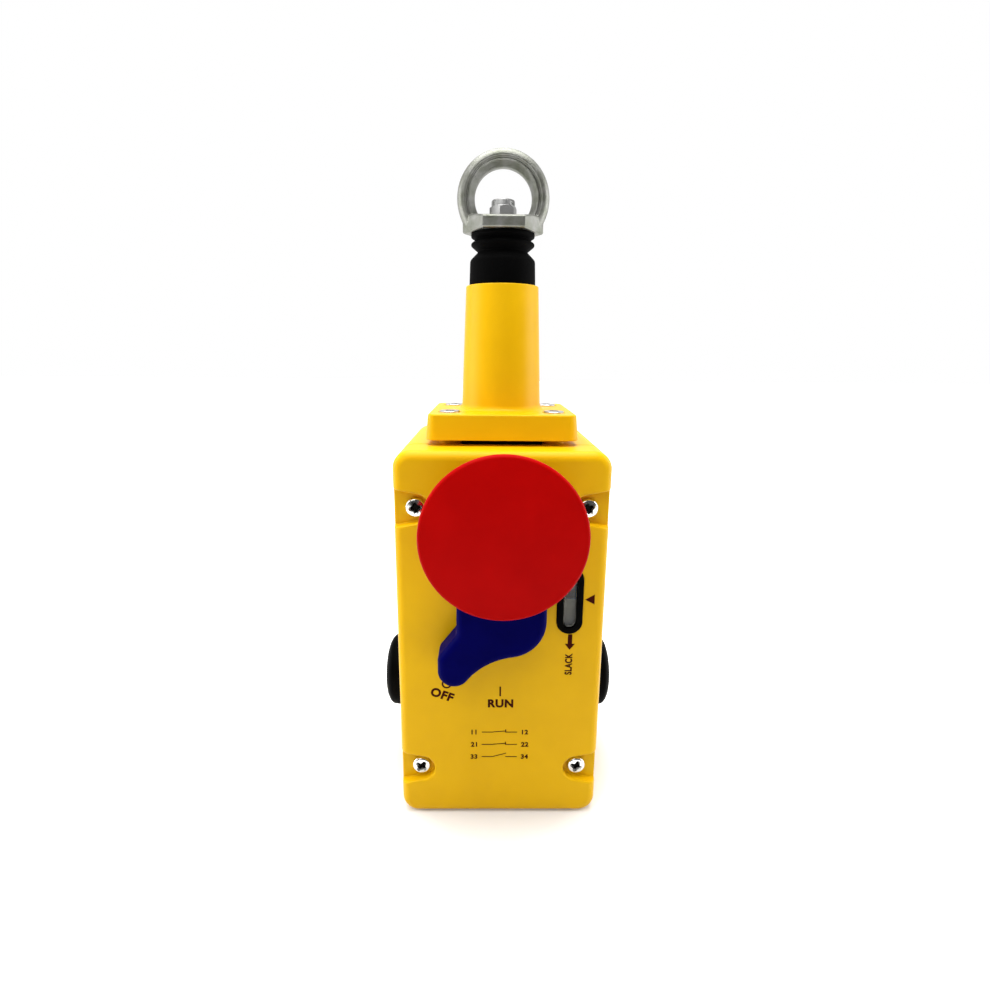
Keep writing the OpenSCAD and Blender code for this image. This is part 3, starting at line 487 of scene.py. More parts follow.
def notch_net():
    """The upper right notch, as (x, depth, height above the cover's middle). Columns run from the lower mouth
    round to the upper one; rows from the land, over lip and wall, to the edge of the floor. A point stands at
    edge + out * normal, with quarter rounds of radius lip and foot at the top and bottom of the wall."""
    side = half_w - notch_x
    start = math.atan2(mouth, side) + math.acos(notch_r / math.hypot(side, mouth))
    angles = np.linspace(start, np.pi, 15)
    curve = notch_r * np.stack([np.cos(angles), np.sin(angles)], 1)
    across = np.array([*(side - lane), side - 4.3, 2.4, 0.7])  # the mouth's columns, from the side to the arc
    slope = (mouth - curve[0, 1]) / (side - curve[0, 0])
    edge = np.concatenate([np.stack([across, curve[0, 1] + slope * (across - curve[0, 0])], 1), curve])
    lean = np.concatenate([np.radians([90] * (LANES + 1) + [93.5, 97]), angles])  # eases into the arc's normals
    way = np.stack([np.cos(lean), np.sin(lean)], 1)
    from_side = np.maximum(side - edge[:, 0], 0)
    land = edge_drop(rim_r, from_side)
    floor = notch_floor + edge_drop(lane[FLAT], from_side)
    lip, foot = np.minimum(lip_r, 0.6 * (floor - land)), np.minimum(foot_r, 0.25 * (floor - land))
    t, s = np.radians([[0], [22.5], [45], [67.5], [90]]), np.radians([[0], [30], [60], [90]])
    out = np.concatenate([[land_w + 0 * lip, 1.7 + 0 * lip], lip * (1 - np.sin(t)) + 0.04,
                          -foot * (1 - np.cos(s)) - 0.04])
    deep = np.concatenate([[land, land], land + lip * (1 - np.cos(t)), floor - foot * (1 - np.sin(s))])
    half = np.stack([edge[:, 0] + out * way[:, 0], deep, edge[:, 1] + out * way[:, 1]], -1)
    return np.concatenate([half * (1, 1, -1), half[:, -2::-1]], 1) + (notch_x, 0, notch_v)


notch = notch_net()
print("notch net:", notch.shape[:2])

# %% [markdown]
# The cover is symmetric in two ways. One quarter is drawn, and its mirror images weld into the whole. Three
# helpers are enough: one mirrors a quarter of an outline into a closed loop, one draws the rounded corner of a
# box, and one makes a straight solid of a loop.

# %% Quarters
MIRRORS = [np.array([x, 1, v]) for x in (1, -1) for v in (1, -1)]
at_cover = (0, face_y, mid_z)


def all_round(quarter):
    """The closed loop of a quarter that runs from the right middle to the top middle."""
    return np.concatenate([quarter, (quarter * (-1, 1, 1))[-2::-1], (quarter * (-1, 1, -1))[1:],
                           (quarter * (1, 1, -1))[-2:0:-1]])


def corner(half_width, half_height, radius, steps=10):
    """Top right quarter of a rounded rectangle after its straight side, as points (x, v), with outward normals."""
    normal = np.concatenate([arc((0, 0), 1, 0, 90, steps), [[0, 1]]])
    points = (half_width - radius, half_height - radius) + radius * normal
    points[-1, 0] = 0
    return points, normal


def prism(skin, loop, start, stop):
    """Adds a straight solid: a closed loop of (x, *, v) points between two depths."""
    skin.tube(np.stack([loop * (1, 0, 1) + (0, depth, 0) for depth in (start, stop)]))


def bar(skin, x, v, start, stop, radius, steps=48):
    """Adds a round bar along the depth."""
    skin.net(turned_rings(bar_line(start, stop, radius), "y", (x, 0, v), steps))


print("a quarter of the cover has", len(corner(half_w, mid_z, corner_r)[0]), "outline points, the whole",
      len(all_round(notch[0])), "round a notch")

# %% [markdown]
# The rim's rings run between the notch and the two middle lines, the face is one flat fill, and the side wall
# hangs from the rim's outer edge. At the seam it ends in a narrow chamfer, which makes the joint line.

# %% The cover's outside
seam = 0.3


def cover_shell():
    """The outside, of the rim's rings beside and above each notch, the notches, the face and the side wall."""
    bend = lofted(*corner(half_w, mid_z, corner_r), np.stack([lane, lane_depth], 1)).swapaxes(0, 1)
    middle = np.stack([half_w - lane, lane_depth, 0 * lane], 1)
    above = np.concatenate([notch[None, 0, :-LANES - 1:-1], bend])
    below = np.stack([middle, notch[0, :LANES]])
    floor = notch[-1]
    skin = Skin()
    for flip in MIRRORS:
        for net in (above, below, notch, np.stack([floor[:FLAT + 1], floor[:-FLAT - 2:-1]])):
            skin.net(net * flip, closed=False)
        skin.fill(floor[FLAT:-FLAT] * flip)
    skin.fill(all_round(np.concatenate([middle[-1:], notch[0, LANES - 1:1 - LANES], above[1:, -1]])))
    rim = all_round(np.concatenate([middle[:1], notch[:, 0], notch[::-1, -1], above[1:, 0]]))
    beyond = np.maximum(np.abs(rim) - (half_w - corner_r, np.inf, mid_z - corner_r), 0)
    normal = beyond * np.sign(rim) / corner_r
    foot = rim * (1, 0, 1)
    wall_rings = np.stack([rim, foot + (0, cover_d - seam, 0), foot - seam * normal + (0, cover_d, 0)])
    skin.net(wall_rings)
    skin.fill(wall_rings[-1])
    return skin


cover_outside = cover_shell()
print("cover's outside:", cover_outside.count, "points before they are welded")

# %% [markdown]
# The hollow inside, with a solid pad behind each screw, and the bores are cut out with a Boolean. The tools are
# welded nets too, so the result is a clean solid. A cut can leave slivers with no area, which are dissolved.

# %% The cover's inside
def combined(mesh, tools, operation):
    """mesh joined with, or cut by, the solid in tools: operation is UNION or DIFFERENCE."""
    pair = [bpy.data.objects.new("work", m) for m in (mesh, tools)]
    for obj in pair:
        bpy.context.scene.collection.objects.link(obj)
    step = pair[0].modifiers.new("step", "BOOLEAN")
    step.operation, step.object, step.solver, step.use_self = operation, pair[1], "EXACT", True
    result = bpy.data.meshes.new_from_object(pair[0].evaluated_get(bpy.context.evaluated_depsgraph_get()))
    work = bmesh.new()
    work.from_mesh(result)
    bmesh.ops.dissolve_degenerate(work, edges=work.edges, dist=0.001 * MM)
    work.to_mesh(result)
    work.free()
    result.name = mesh.name
    for obj in pair:
        bpy.data.objects.remove(obj)
    return result


past = 1  # how far a tool runs past the surface that it opens


def cover_hollow():
    """The space inside, and every bore: spindle bush, four screws and window."""
    bush_r, screw_r, bezel_lap = 12.53, 2.4, 1
    skin = Skin()
    points, _ = corner(half_w - wall, mid_z - wall, corner_r - wall)
    pad, inner = mouth + 2, half_w - wall
    steps = [(inner, 0), (inner, notch_v - pad), (notch_x - mouth, notch_v - pad), (notch_x - mouth, notch_v + pad),
             (inner, notch_v + pad), *points]
    prism(skin, all_round(np.array([(x, 0, v) for x, v in steps])), wall, cover_d + past)
    bar(skin, 0, hub_z - mid_z, -past, wall + past, bush_r, 96)
    for flip in MIRRORS:
        bar(skin, *(np.array([notch_x, 0, notch_v]) * flip)[[0, 2]], 0, cover_d + past, screw_r)
    low, high = span("window_bezel")
    half, centre = (high - low) / 2 - bezel_lap, (high + low) / 2
    ends = [((centre[0], centre[2] - mid_z + end * (half[2] - half[0])), start) for end, start in ((1, 0), (-1, 180))]
    window = np.concatenate([arc(place, half[0], start, start + 180, 24) for place, start in ends])
    prism(skin, np.insert(window, 1, 0, axis=1), -past, wall + past)
    return skin


cover_mesh = combined(cover_outside.mesh("cover", at_cover), cover_hollow().mesh("tools", at_cover), "DIFFERENCE")
piece("cover", cover_mesh, "front_cover", flat=True)

# %% [markdown]
# ## The housing
#
# The housing is the deep box behind the seam. Its back edge is rounded like the cover's rim, only less. Inside
# it stand the posts for the cover screws, the mounting bosses and the earth boss, and the bottom entry lets
# somebody look in, so all of them are there. The outside, the hollow and the bosses are separate solids: the
# hollow is cut out first, then the bosses grow in it, and the bores come last.

# %% The housing's places and radii
plug_low, plug_high = span("conduit_plugs")
entry_z, entry_y = (plug_low[2] + plug_high[2]) / 2, (plug_low[1] + plug_high[1]) / 2 - face_y
back_in = body_d - 5
seam_y = housing_low[1] - face_y
posts = [np.array([notch_x, 0, notch_v]) * flip for flip in MIRRORS]
mounts = [np.array([25, 0, 60]) * flip - (0, 0, 0.25) for flip in MIRRORS]
head_screw_x, head_screw_y = 21.3, 16.7
head_screws = [(x, y) for x in (-head_screw_x, head_screw_x) for y in (-head_screw_y, head_screw_y)]
boss_r = {"post": 5.5, "mount": 6, "head screw": 4.5, "entry": 14.95, "earth": 5}
bore_r = {"post": 2.03, "mount": 2.1, "head screw": 2.53, "entry": 11.75, "spring": 13}
print(f"entries {entry_z:.1f} mm above the bottom and {entry_y:.1f} mm behind the face")

# %% [markdown]
# Most of a housing is boxes with round corners and round bars in three directions, so each of them gets a
# helper that adds one to a skin.

# %% Boxes and bars
def rounded_box(half_width, half_height, radius, profile):
    """A box with round long corners along the depth: profile lists (inset, depth) from one end to the other."""
    quarters = lofted(*corner(half_width, half_height, radius), profile)
    quarters[:, -1, 0] = 0
    start = quarters[:, :1] * (1, 1, 0)
    skin = Skin()
    skin.tube(np.stack([all_round(ring) for ring in np.concatenate([start, quarters], 1)]))
    return skin


def upright(skin, x, y, start, stop, radius, steps=48):
    """Adds a round bar along Z."""
    skin.net(turned_rings(bar_line(start, stop, radius), "z", (x, y, 0), steps))


def sideways(skin, start, stop, radius, steps=64):
    """Adds a round bar along X through each side entry."""
    for side in (-1, 1):
        rings = turned_rings(bar_line(start, stop, radius), "x", (0, entry_y, entry_z - mid_z), steps)
        skin.net(rings * (side, 1, 1))


outer_edge = fillet(1.2, 5)
back_edge = np.stack([outer_edge[:, 0], body_d - outer_edge[:, 1]], 1)[::-1]
shell = rounded_box(half_w, mid_z, corner_r, [(seam, seam_y), (0, seam_y + seam), *back_edge])
hollow = rounded_box(half_w - wall, mid_z - wall, corner_r - wall, [(0, 10), (0, back_in - 1), (1, back_in)])
print("housing shell:", shell.count, "points, hollow:", hollow.count, "points")

# %% [markdown]
# Each boss starts a little way inside the wall that it stands on, so that the two melt into one solid, and each
# bore runs out of the surface on both sides, so that no thin skin is left over its mouth.

# %% Housing
def bosses():
    """Posts, mounting bosses, head screw bosses, the three entries' collars and the earth boss."""
    skin = Skin()
    for x, _, v in posts:
        bar(skin, x, v, seam_y, back_in + past, boss_r["post"])
    for x, _, v in mounts:
        bar(skin, x, v, back_in - 5, back_in + past, boss_r["mount"])
    for x, y in head_screws:
        upright(skin, x, shaft_y - face_y + y, mid_z - 8, mid_z + 2.2, boss_r["head screw"])
    sideways(skin, half_w - 8, half_w - past, boss_r["entry"])
    upright(skin, 0, entry_y, past - mid_z, 10 - mid_z, boss_r["entry"], 64)
    low, high = span("earth_screw")
    bar(skin, 0, (low + high)[2] / 2 - mid_z, back_in - 8, back_in + past, boss_r["earth"])
    return skin


def bores():
    """Threads for the cover, mounting and head screws, the way of the main spring and the three entries."""
    skin = Skin()
    for x, _, v in posts:
        bar(skin, x, v, cover_d, 30, bore_r["post"])
    for x, _, v in mounts:
        bar(skin, x, v, body_d - 8.5, body_d + past, bore_r["mount"])
    for x, y in head_screws:
        upright(skin, x, shaft_y - face_y + y, mid_z - 9, mid_z + 4, bore_r["head screw"])
    upright(skin, 0, shaft_y - face_y, mid_z - wall - past, mid_z + past, bore_r["spring"], 64)
    sideways(skin, half_w - 10, half_w + past, bore_r["entry"])
    upright(skin, 0, entry_y, -past - mid_z, 11 - mid_z, bore_r["entry"], 64)
    return skin


housing_mesh = shell.mesh("housing", at_cover)
for tool, operation in ((hollow, "DIFFERENCE"), (bosses(), "UNION"), (bores(), "DIFFERENCE")):
    housing_mesh = combined(housing_mesh, tool.mesh("tool", at_cover), operation)
piece("housing", housing_mesh, "rear_housing", flat=True)

# %% [markdown]
# ## The pull head
#
# Flange and tower are one casting. The tower is turned: it grows out of the flange with a generous fillet and
# tapers to a rounded mouth. Inside, the whole casting is one turned line from the mouth down: the pocket for the
# bellows, the web with the bush, and the spring's bore.

# %% Tower
flange_z, tower_z, mouth_z = head_low[2], head_low[2] + 10.2, head_high[2]
pocket_z, web = mouth_z - 11.4, 6
tower_foot, tower_r, mouth_r, lip = 2.6, 17, 15.1, 0.5
pocket_r, bush_r, spring_r = 14.05, 7.53, 12
at_shaft = (0, shaft_y, 0)


def taper(z):
    """The tower's radius at a height: a straight line from tower_r at its foot to mouth_r at its mouth."""
    return tower_r + (mouth_r - tower_r) * (z - tower_z) / (mouth_z - tower_z)


t = np.linspace(0, np.pi / 2, 8)
foot_line = np.stack([taper(tower_z + tower_foot) + tower_foot * (1 - np.sin(t)),
                      tower_z + tower_foot * (1 - np.cos(t))], 1)
lip_line = np.stack([taper(mouth_z) - lip + lip * np.cos(t), mouth_z - lip + lip * np.sin(t)], 1)
inner_line = [(pocket_r + 0.3, mouth_z), (pocket_r, mouth_z - 0.3), (pocket_r, pocket_z), (bush_r, pocket_z),
              (bush_r, pocket_z - web), (spring_r, pocket_z - web), (spring_r, flange_z)]
tower = turned_rings([*foot_line, *lip_line, *inner_line], steps=96)
print("tower:", tower.shape[0], "rings")

# %% [markdown]
# The flange's sides lean in a little, so that it comes out of its mould, and its top edge is round. It is a
# second net, and two flat fills join it to the tower. Last, the four screw holes are cut, with a countersunk
# mouth and a flat seat.

# %% Pull head
flange_w, flange_d, draft = head_high[0], (head_high[1] - head_low[1]) / 2, 0.9
top_edge = fillet(0.8, 5)
sides = [(0.3, flange_z), (0, flange_z + 0.3),
         *np.stack([draft + top_edge[:, 0], tower_z - top_edge[:, 1]], 1)[::-1]]
quarters = lofted(*corner(flange_w, flange_d, 4.5), sides)
quarters[:, -1, 0] = 0
flange = np.stack([all_round(np.concatenate([ring[:1] * (1, 1, 0), ring])) for ring in quarters])[..., [0, 2, 1]]
skin = Skin()
skin.net(flange)
skin.net(tower)
skin.fill(flange[-1], tower[0])
skin.fill(flange[0], tower[-1])
hole_r, sink_r, sink_d = 2.9, 4.6, 2.4
hole_line = [(0, flange_z - 1), (hole_r, flange_z - 1), (hole_r, tower_z - sink_d), (sink_r, tower_z - sink_d),
             (sink_r, tower_z - 0.35), (5.3, tower_z + 0.35), (0, tower_z + 0.35)]
screw_holes = Skin()
for x, y in head_screws:
    screw_holes.net(turned_rings(hole_line, centre=(x, y, 0), steps=40))
head_mesh = combined(skin.mesh("head", at_shaft), screw_holes.mesh("tool", at_shaft), "DIFFERENCE")
piece("pull_head_casting", head_mesh, "pull_head", flat=True)

# %% [markdown]
# The four screws that hold the head down sit deep in their counterbores. They are socket screws, so each head
# is a low cylinder with a six-sided socket. The socket could be cut with a Boolean, but it is simply a second
# turned net, stretched to a hexagon, and one flat fill joins its rim to the head.

# %% Head screws
cap_high = span("head_screws")[1]
cap_r, cap_top, cap_h = cap_high[0] - head_screw_x, cap_high[2], 3
cap_thread_r, cap_thread_l, socket_r, socket_d = 2.5, 17, 2.0, 1.6
cap_foot = cap_top - cap_h
cap_line = [(0, cap_foot - cap_thread_l), (cap_thread_r, cap_foot - cap_thread_l), (cap_thread_r, cap_foot),
            (cap_r, cap_foot), (cap_r, cap_top - 0.3), (cap_r - 0.3, cap_top)]
socket = turned_rings([(socket_r, cap_top), (socket_r, cap_top - socket_d), (0, cap_top - socket_d - 0.3)], steps=48)
socket[..., :2] *= hexagon(np.arange(48) / 48 * TURN)[None, :, None]
skin = Skin()
for x, y in head_screws:
    place = (x, shaft_y + y, 0)
    cap = turned_rings(cap_line, centre=place, steps=48)
    skin.net(cap)
    skin.net(socket + place)
    skin.fill(cap[-1], socket[0] + place)
piece("head_socket_screws", skin.mesh("head_socket_screws"), "head_screws", sharp=30)

# %% [markdown]
# ## The bellows
#
# A rubber bellows keeps water out of the tower. It is turned: a straight skirt, one deep groove, a rib, and a
# collar under the eye. Moulded rubber has no sharp edge anywhere, so each corner of the profile is rounded. It
# could be sculpted or bevelled by hand, but a profile keeps every radius in one line. The foot stays in the
# tower and the collar goes up with the eye; here the bellows is attached to neither body.

# %% Bellows
bellows_low, bellows_high = span("bellows")
collar_z, foot_z = bellows_high[2], bellows_low[2]
rubber_w, floor_w, bore = 1.6, 2, 5.4
outer = rounded([(13.4, foot_z), (13.7, foot_z + 0.4), (13.7, mouth_z + 1), (13.4, mouth_z + 9.9),
                 (10.1, mouth_z + 13.2), (13.0, mouth_z + 15.6), (13.0, mouth_z + 16.4), (11.1, mouth_z + 17.75),
                 (13, mouth_z + 18.9), (13, collar_z), (bore, collar_z)],
                [0.2, 2, 0.9, 0.4, 0.5, 0.5, 0.3, 0.4, 0.4])
between = (outer[:, 1] > foot_z + floor_w) & (outer[:, 1] < collar_z - rubber_w)
inner = outer[between][::-1] - (rubber_w, 0)
profile = [(7.9, foot_z), *outer, (bore, collar_z - 1.3), *inner, (12.1, foot_z + floor_w),
           (7.9, foot_z + floor_w), (7.9, foot_z)]
skin = Skin()
skin.net(turned_rings(profile, steps=96, centre=at_shaft))
bellows = piece("rubber_bellows", skin.mesh("rubber_bellows"), "bellows", sharp=45, rides=False)
shaft_y * MM
shaft_y * MM
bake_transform(bellows)

# %% [markdown]
# ## The eye
#
# The eye is cast in one with its six-sided collar, which slopes down to the front and to the back. Its ring has
# an outer band that bends back and an inner band that slopes into the hole, with a shallow crease between them.
# The ring is half a section, its mirror image, and one turn about the depth.

# %% Ring and collar of the eye
eye_high = span("eye_nut")[1]
ring_r = eye_high[0]
ring_z = eye_high[2] - ring_r
collar_top = span("lock_nut")[0][2]
half = rounded([(11.5, 0), (11.6, 1.6), (13.9, 4.4), (14.6, 3.3), (15.4, 4.5), (17.2, 3.9), (18.6, 1.8), (18.6, 0)],
               [0.6, 0.4, 0.3, 0.5, 1.2, 1.2], 3)
section = np.concatenate([half, (half * (1, -1))[-2::-1]])
eye_angle = np.arange(96) / 96 * TURN
collar_flats, fall = 14.3, 1.7
six_r = collar_flats * hexagon(eye_angle)
slope = fall * np.clip(1 - (np.abs(np.cos(eye_angle)) - 0.5) / 0.4, 0, 1)  # none at the ring, full at the front


def level(angle, radius, z):
    """Points at a radius and a height round the shaft, both of which may change with the angle."""
    radius, z = radius + 0 * angle, z + 0 * angle
    return np.stack([radius * np.cos(angle), shaft_y + radius * np.sin(angle), z], 1)


eye_skin = Skin()
eye_skin.net(turned_rings(section, "y", (0, shaft_y, ring_z), 160))
eye_skin.net(np.stack([level(eye_angle, r, z) for r, z in (
    (0, collar_z), (six_r - 0.5, collar_z), (six_r, collar_z + 0.5), (six_r, collar_top - slope - 0.6),
    (six_r - 0.6, collar_top - slope), (7, collar_top), (0, collar_top))]))
print(f"eye: ring of {2 * ring_r:.1f} mm, collar {2 * collar_flats} mm across its flats")

# %% [markdown]
# A ring and a prism simply laid into each other would meet in a sharp line, but cast metal flows, so the two are
# melted together by a voxel remesh and smoothed a little. The thread, the seat of the nut and the room for the
# bellows are cut first.

# %% Eye
def melted(mesh, voxel, rounds):
    """One skin round all the solids of a mesh, of cubes of voxel millimetres, smoothed so many times."""
    obj = bpy.data.objects.new("work", mesh)
    bpy.context.scene.collection.objects.link(obj)
    step = obj.modifiers.new("melt", "REMESH")
    step.mode, step.voxel_size, step.use_smooth_shade = "VOXEL", voxel * MM, True
    step = obj.modifiers.new("soften", "SMOOTH")
    step.factor, step.iterations = 0.5, rounds
    result = bpy.data.meshes.new_from_object(obj.evaluated_get(bpy.context.evaluated_depsgraph_get()))
    bpy.data.objects.remove(obj)
    result.name = mesh.name
    return result


tool = Skin()
eye_thread_r, seat_r, room_r = 3.15, 6.4, 30
upright(tool, 0, shaft_y, collar_z - 5, collar_top + 1, eye_thread_r)
upright(tool, 0, shaft_y, collar_top, collar_top + 4, seat_r)
upright(tool, 0, shaft_y, collar_z - 12, collar_z, room_r, 8)
whole = combined(eye_skin.mesh("cast_eye"), tool.mesh("tool"), "DIFFERENCE")
piece("cast_eye", melted(whole, 0.28, 2), "eye_nut", sharp=50)

# %% [markdown]
# ## Lock nut
#
# The nut is a hexagon with a round crown on top that holds a locking ring. The corners are turned off in a cone
# of forty degrees, which cuts each side in a curve, highest in the middle. A Boolean of prism and cone would do
# it too, but the curve has a plain formula: at each angle the side stands at r, and its top edge lies lower
# than the crown's foot by (r - crown radius) times tan 40.

# %% Lock nut
nut_low, nut_high = span("lock_nut")
flats, crown_r, nut_thread_r, nut_turn = 5.0, 4.8, 3.05, math.radians(16)
bottom, top = nut_low[2], nut_high[2]
crown_foot = top - 2.3
crown = rounded([(crown_r, crown_foot), (4.7, top), (3.5, top), (nut_thread_r, top - 0.45)], [0.9, 0.2], 4)
nut_angle = np.arange(120) / 120 * TURN
nut_side = flats * hexagon(nut_angle - nut_turn)
rise = (nut_side - crown_r) * math.tan(math.radians(40))
skin = Skin()
skin.net(np.stack([level(nut_angle, r, z) for r, z in (
    (nut_thread_r, bottom), (flats - 0.3, bottom), (nut_side, bottom + rise * 0.3), (nut_side, crown_foot - rise),
    *crown, (nut_thread_r, bottom))]))
piece("lock_nut_m6", skin.mesh("lock_nut_m6"), "lock_nut", sharp=28, finish=plated)

# %% [markdown]
# ## Cover screws
#
# Pan heads with a cross recess, bright zinc all over. The bottom of each recess is coloured nearly black as painted
# shade, for the shadow that gathers there. The finish finds it by its place: taking the absolute value of x and of
# the height above the cover's middle folds the four screws into one, and there a point's distance from the axis and
# its depth count.

# %% Zinc of the cover screws, with painted shade in the recesses
def zinc_with_painted_recess_shade():
    """Bright zinc with painted shade: nearly black where a point is less than 2.9 mm from a screw's axis and more
    than 0.7 mm below its top.
    """
    finish = Finish("zinc of the cover screws with painted recess shade", Metallic=1.0)
    x, y, z = (finish.node("ShaderNodeSeparateXYZ", {}, finish.place, out=k) for k in range(3))
    flat = [finish.node("ShaderNodeMath", {"operation": "ABSOLUTE"}, value) - reach * MM
            for value, reach in ((x, notch_x), (z - mid_z * MM, notch_v))]
    radius = finish.node("ShaderNodeVectorMath", {"operation": "LENGTH"},
                         finish.node("ShaderNodeCombineXYZ", {}, *flat), out=1)
    near = finish.ramp(radius, 2.9 * MM, 2.8 * MM)
    deep = finish.ramp(y, (screw_low[1] + 0.7) * MM, (screw_low[1] + 1.3) * MM)
    # painted shade: inside marks the bottom of each recess, coloured nearly black and made rough for the shadow there
    inside, cloud = near * deep, finish.noise(3, 4)
    clean = finish.mix(cloud, (0.62, 0.62, 0.6), (0.76, 0.76, 0.74))
    finish.feed("Base Color", finish.mix(inside, clean, (0.008, 0.007, 0.006)))
    finish.feed("Roughness", 0.14 + 0.1 * cloud + 0.4 * inside)
    return finish


zinc = zinc_with_painted_recess_shade()
print("made:", zinc.material.name)

# %% [markdown]
# The head is turned: a low dome with a round shoulder. The recess is a cross with wide inner corners that
# narrows as it goes in, as the tip of the driver does, so a Boolean with such a wedge cuts it. Somebody
# tightened the four screws by hand, so each cross stands at an angle of its own.

# %% Cover screws
arm = [(2.7, -0.68), (2.9, 0), (2.7, 0.68), (1.15, 1.15)]
cross = np.array([(x * math.cos(a) - y * math.sin(a), x * math.sin(a) + y * math.cos(a))
                  for a in np.radians([0, 90, 180, 270]) for x, y in arm])


def cross_tool(skin, x, v, turn, top, depth):
    """Adds a cross-shaped wedge along the depth, narrower at its far end."""
    c, s = math.cos(turn), math.sin(turn)
    loop = cross @ np.array([[c, s], [-s, c]])
    skin.tube(np.stack([np.insert(loop * size + (x, v), 1, place, axis=1)
                        for size, place in ((1.06, top - 0.4), (1, top + 0.3), (0.45, top + depth))]))


pan_top, screw_end, shank_r = screw_low[1] - face_y, screw_high[1] - face_y, 2.0
dome = [(r, pan_top + 0.55 * (r / 2.9) ** 2) for r in np.linspace(0, 2.9, 5)]
shoulder = [(pan_r - (1 - math.sin(a)), pan_top + 1.75 - 1.2 * math.cos(a))
            for a in np.radians(np.linspace(15, 90, 6))]
shank = [(pan_r, notch_floor - 0.25), (pan_r - 0.2, notch_floor), (shank_r + 0.05, notch_floor),
         (shank_r, notch_floor + 0.2), (shank_r, screw_end - 0.5), (1.5, screw_end), (0, screw_end)]
skin, tool = Skin(), Skin()
for (x, _, v), turn in zip(posts, np.radians([28, 70, 12, 52])):
    skin.net(turned_rings([*dome, *shoulder, *shank], "y", (x, 0, v), 64))
    cross_tool(tool, x, v, turn, pan_top, 1.9)
screws_mesh = combined(skin.mesh("screws", at_cover), tool.mesh("tool", at_cover), "DIFFERENCE")
piece("cover_screws_m4", screws_mesh, "cover_screws", sharp=32, finish=zinc)

# %% [markdown]
# ## Reset handle
#
# Seen from the front the handle is a straight arm that hangs from the hub and sweeps into a pointer at its
# lower left. A drawn curve with a bevel would come close, but its outline is really made of arcs that run
# smoothly into each other, and arcs know their normals. An arc that bulges outwards has its surface at
# centre + r n; one that bulges inwards at centre - r n, with n the outward normal in both.

# %% Handle outline
handle_low, handle_high = span("reset_handle")
hub = np.array([0, hub_z - mid_z])
arm_r, tip, tip_r, lobe, sweep_r = 17.3, np.array([-18.3, -58.4]), 6.4, np.array([2.6, -37.6]), 27.0
valley, valley_r, heel_r = np.array([-21.9, -41.4]), 4.6, 3.7
heel = np.array([tip[0] - tip_r + heel_r, -53.8])
lobe_r = arm_r - lobe[0]


def bearing(a, b):
    """The angle in degrees at which point b is seen from point a."""
    return math.degrees(math.atan2(b[1] - a[1], b[0] - a[0]))


def touching(a, ra, b, rb, r):
    """Centre of the circle of radius r that touches both circles from outside, to the right of the way a to b."""
    s = math.dist(a, b)
    u = (b - a) / s
    along = ((r + ra) ** 2 - (r + rb) ** 2 + s * s) / (2 * s)
    return a + along * u + math.sqrt((r + ra) ** 2 - along ** 2) * np.array([u[1], -u[0]])


sweep = touching(tip, tip_r, lobe, lobe_r, sweep_r)
flank = bearing(valley, heel) + math.degrees(math.acos((valley_r + heel_r) / math.dist(valley, heel)))
# centre, radius, first and last bearing, number of sides, and 1 where the arc bulges outwards or -1
curves = [(np.zeros(2), arm_r, 0, 180, 40, 1), (valley, valley_r, 0, flank, 10, -1),
          (heel, heel_r, flank + 180, 180, 8, 1), (tip, tip_r, 180, 360 + bearing(tip, sweep), 24, 1),
          (sweep, sweep_r, bearing(sweep, tip), bearing(sweep, lobe), 16, -1),
          (lobe, lobe_r, bearing(lobe, sweep), 0, 16, 1)]
outline = np.concatenate([arc(centre, r, a, b, n) for centre, r, a, b, n, _ in curves])
outward = np.concatenate([arc((0, 0), way, a, b, n) for _, _, a, b, n, way in curves])
print("handle outline:", len(outline), "points")

# %% [markdown]
# The front edge is a wide rounding, so it catches light from the side, and the back edge a narrow one. The hub
# has a bore in two steps for the spindle and its seal, and a grub screw comes in from above.

# %% Handle
front, back = handle_low[1] - face_y, handle_high[1] - face_y
soft, crisp = fillet(3.0, 9), fillet(0.4, 3)
side_line = [*np.stack([soft[:, 0], front + soft[:, 1]], 1), *np.stack([crisp[:, 0], back - crisp[:, 1]], 1)[::-1]]
handle_rings = lofted(hub + outline, outward, side_line)
spindle_r, seal_r, seal_y, grub_r, grub_y = 8.6, 11.03, -10.05, 1.53, -6
hub_bore = turned_rings([(9.0, front), (spindle_r, front + 0.4), (spindle_r, seal_y), (seal_r, seal_y),
                         (seal_r, back)], "y", (0, 0, hub[1]), 72)
skin, tool = Skin(), Skin()
skin.net(handle_rings)
skin.net(hub_bore)
skin.fill(handle_rings[0], hub_bore[0])
skin.fill(handle_rings[-1], hub_bore[-1])
upright(tool, 0, grub_y, hub[1] + 9, hub[1] + 20, grub_r, 24)
handle_mesh = combined(skin.mesh("handle", at_cover), tool.mesh("tool", at_cover), "DIFFERENCE")
piece("handle_moulding", handle_mesh, "reset_handle", sharp=35, flat=True)

# %% [markdown]
# ## Mushroom button
#
# The button is turned. Its face is a very flat dome, its rim a small round, and its underside a cone with a
# socket for the plunger. A scaled sphere or a bevelled cylinder would get either the face or the rim wrong, so
# the profile is written out: depth grows with the square of the radius on the face, and an arc makes the rim.

# %% Button
def softened(points, times):
    """Corner cutting: each side gives its points at one and three quarters of its length, so many times over."""
    points = np.array(points, float)
    for _ in range(times):
        near, far = 0.75 * points[:-1] + 0.25 * points[1:], 0.25 * points[:-1] + 0.75 * points[1:]
        points = np.concatenate([points[:1], np.stack([near, far], 1).reshape(-1, 2), points[-1:]])
    return points


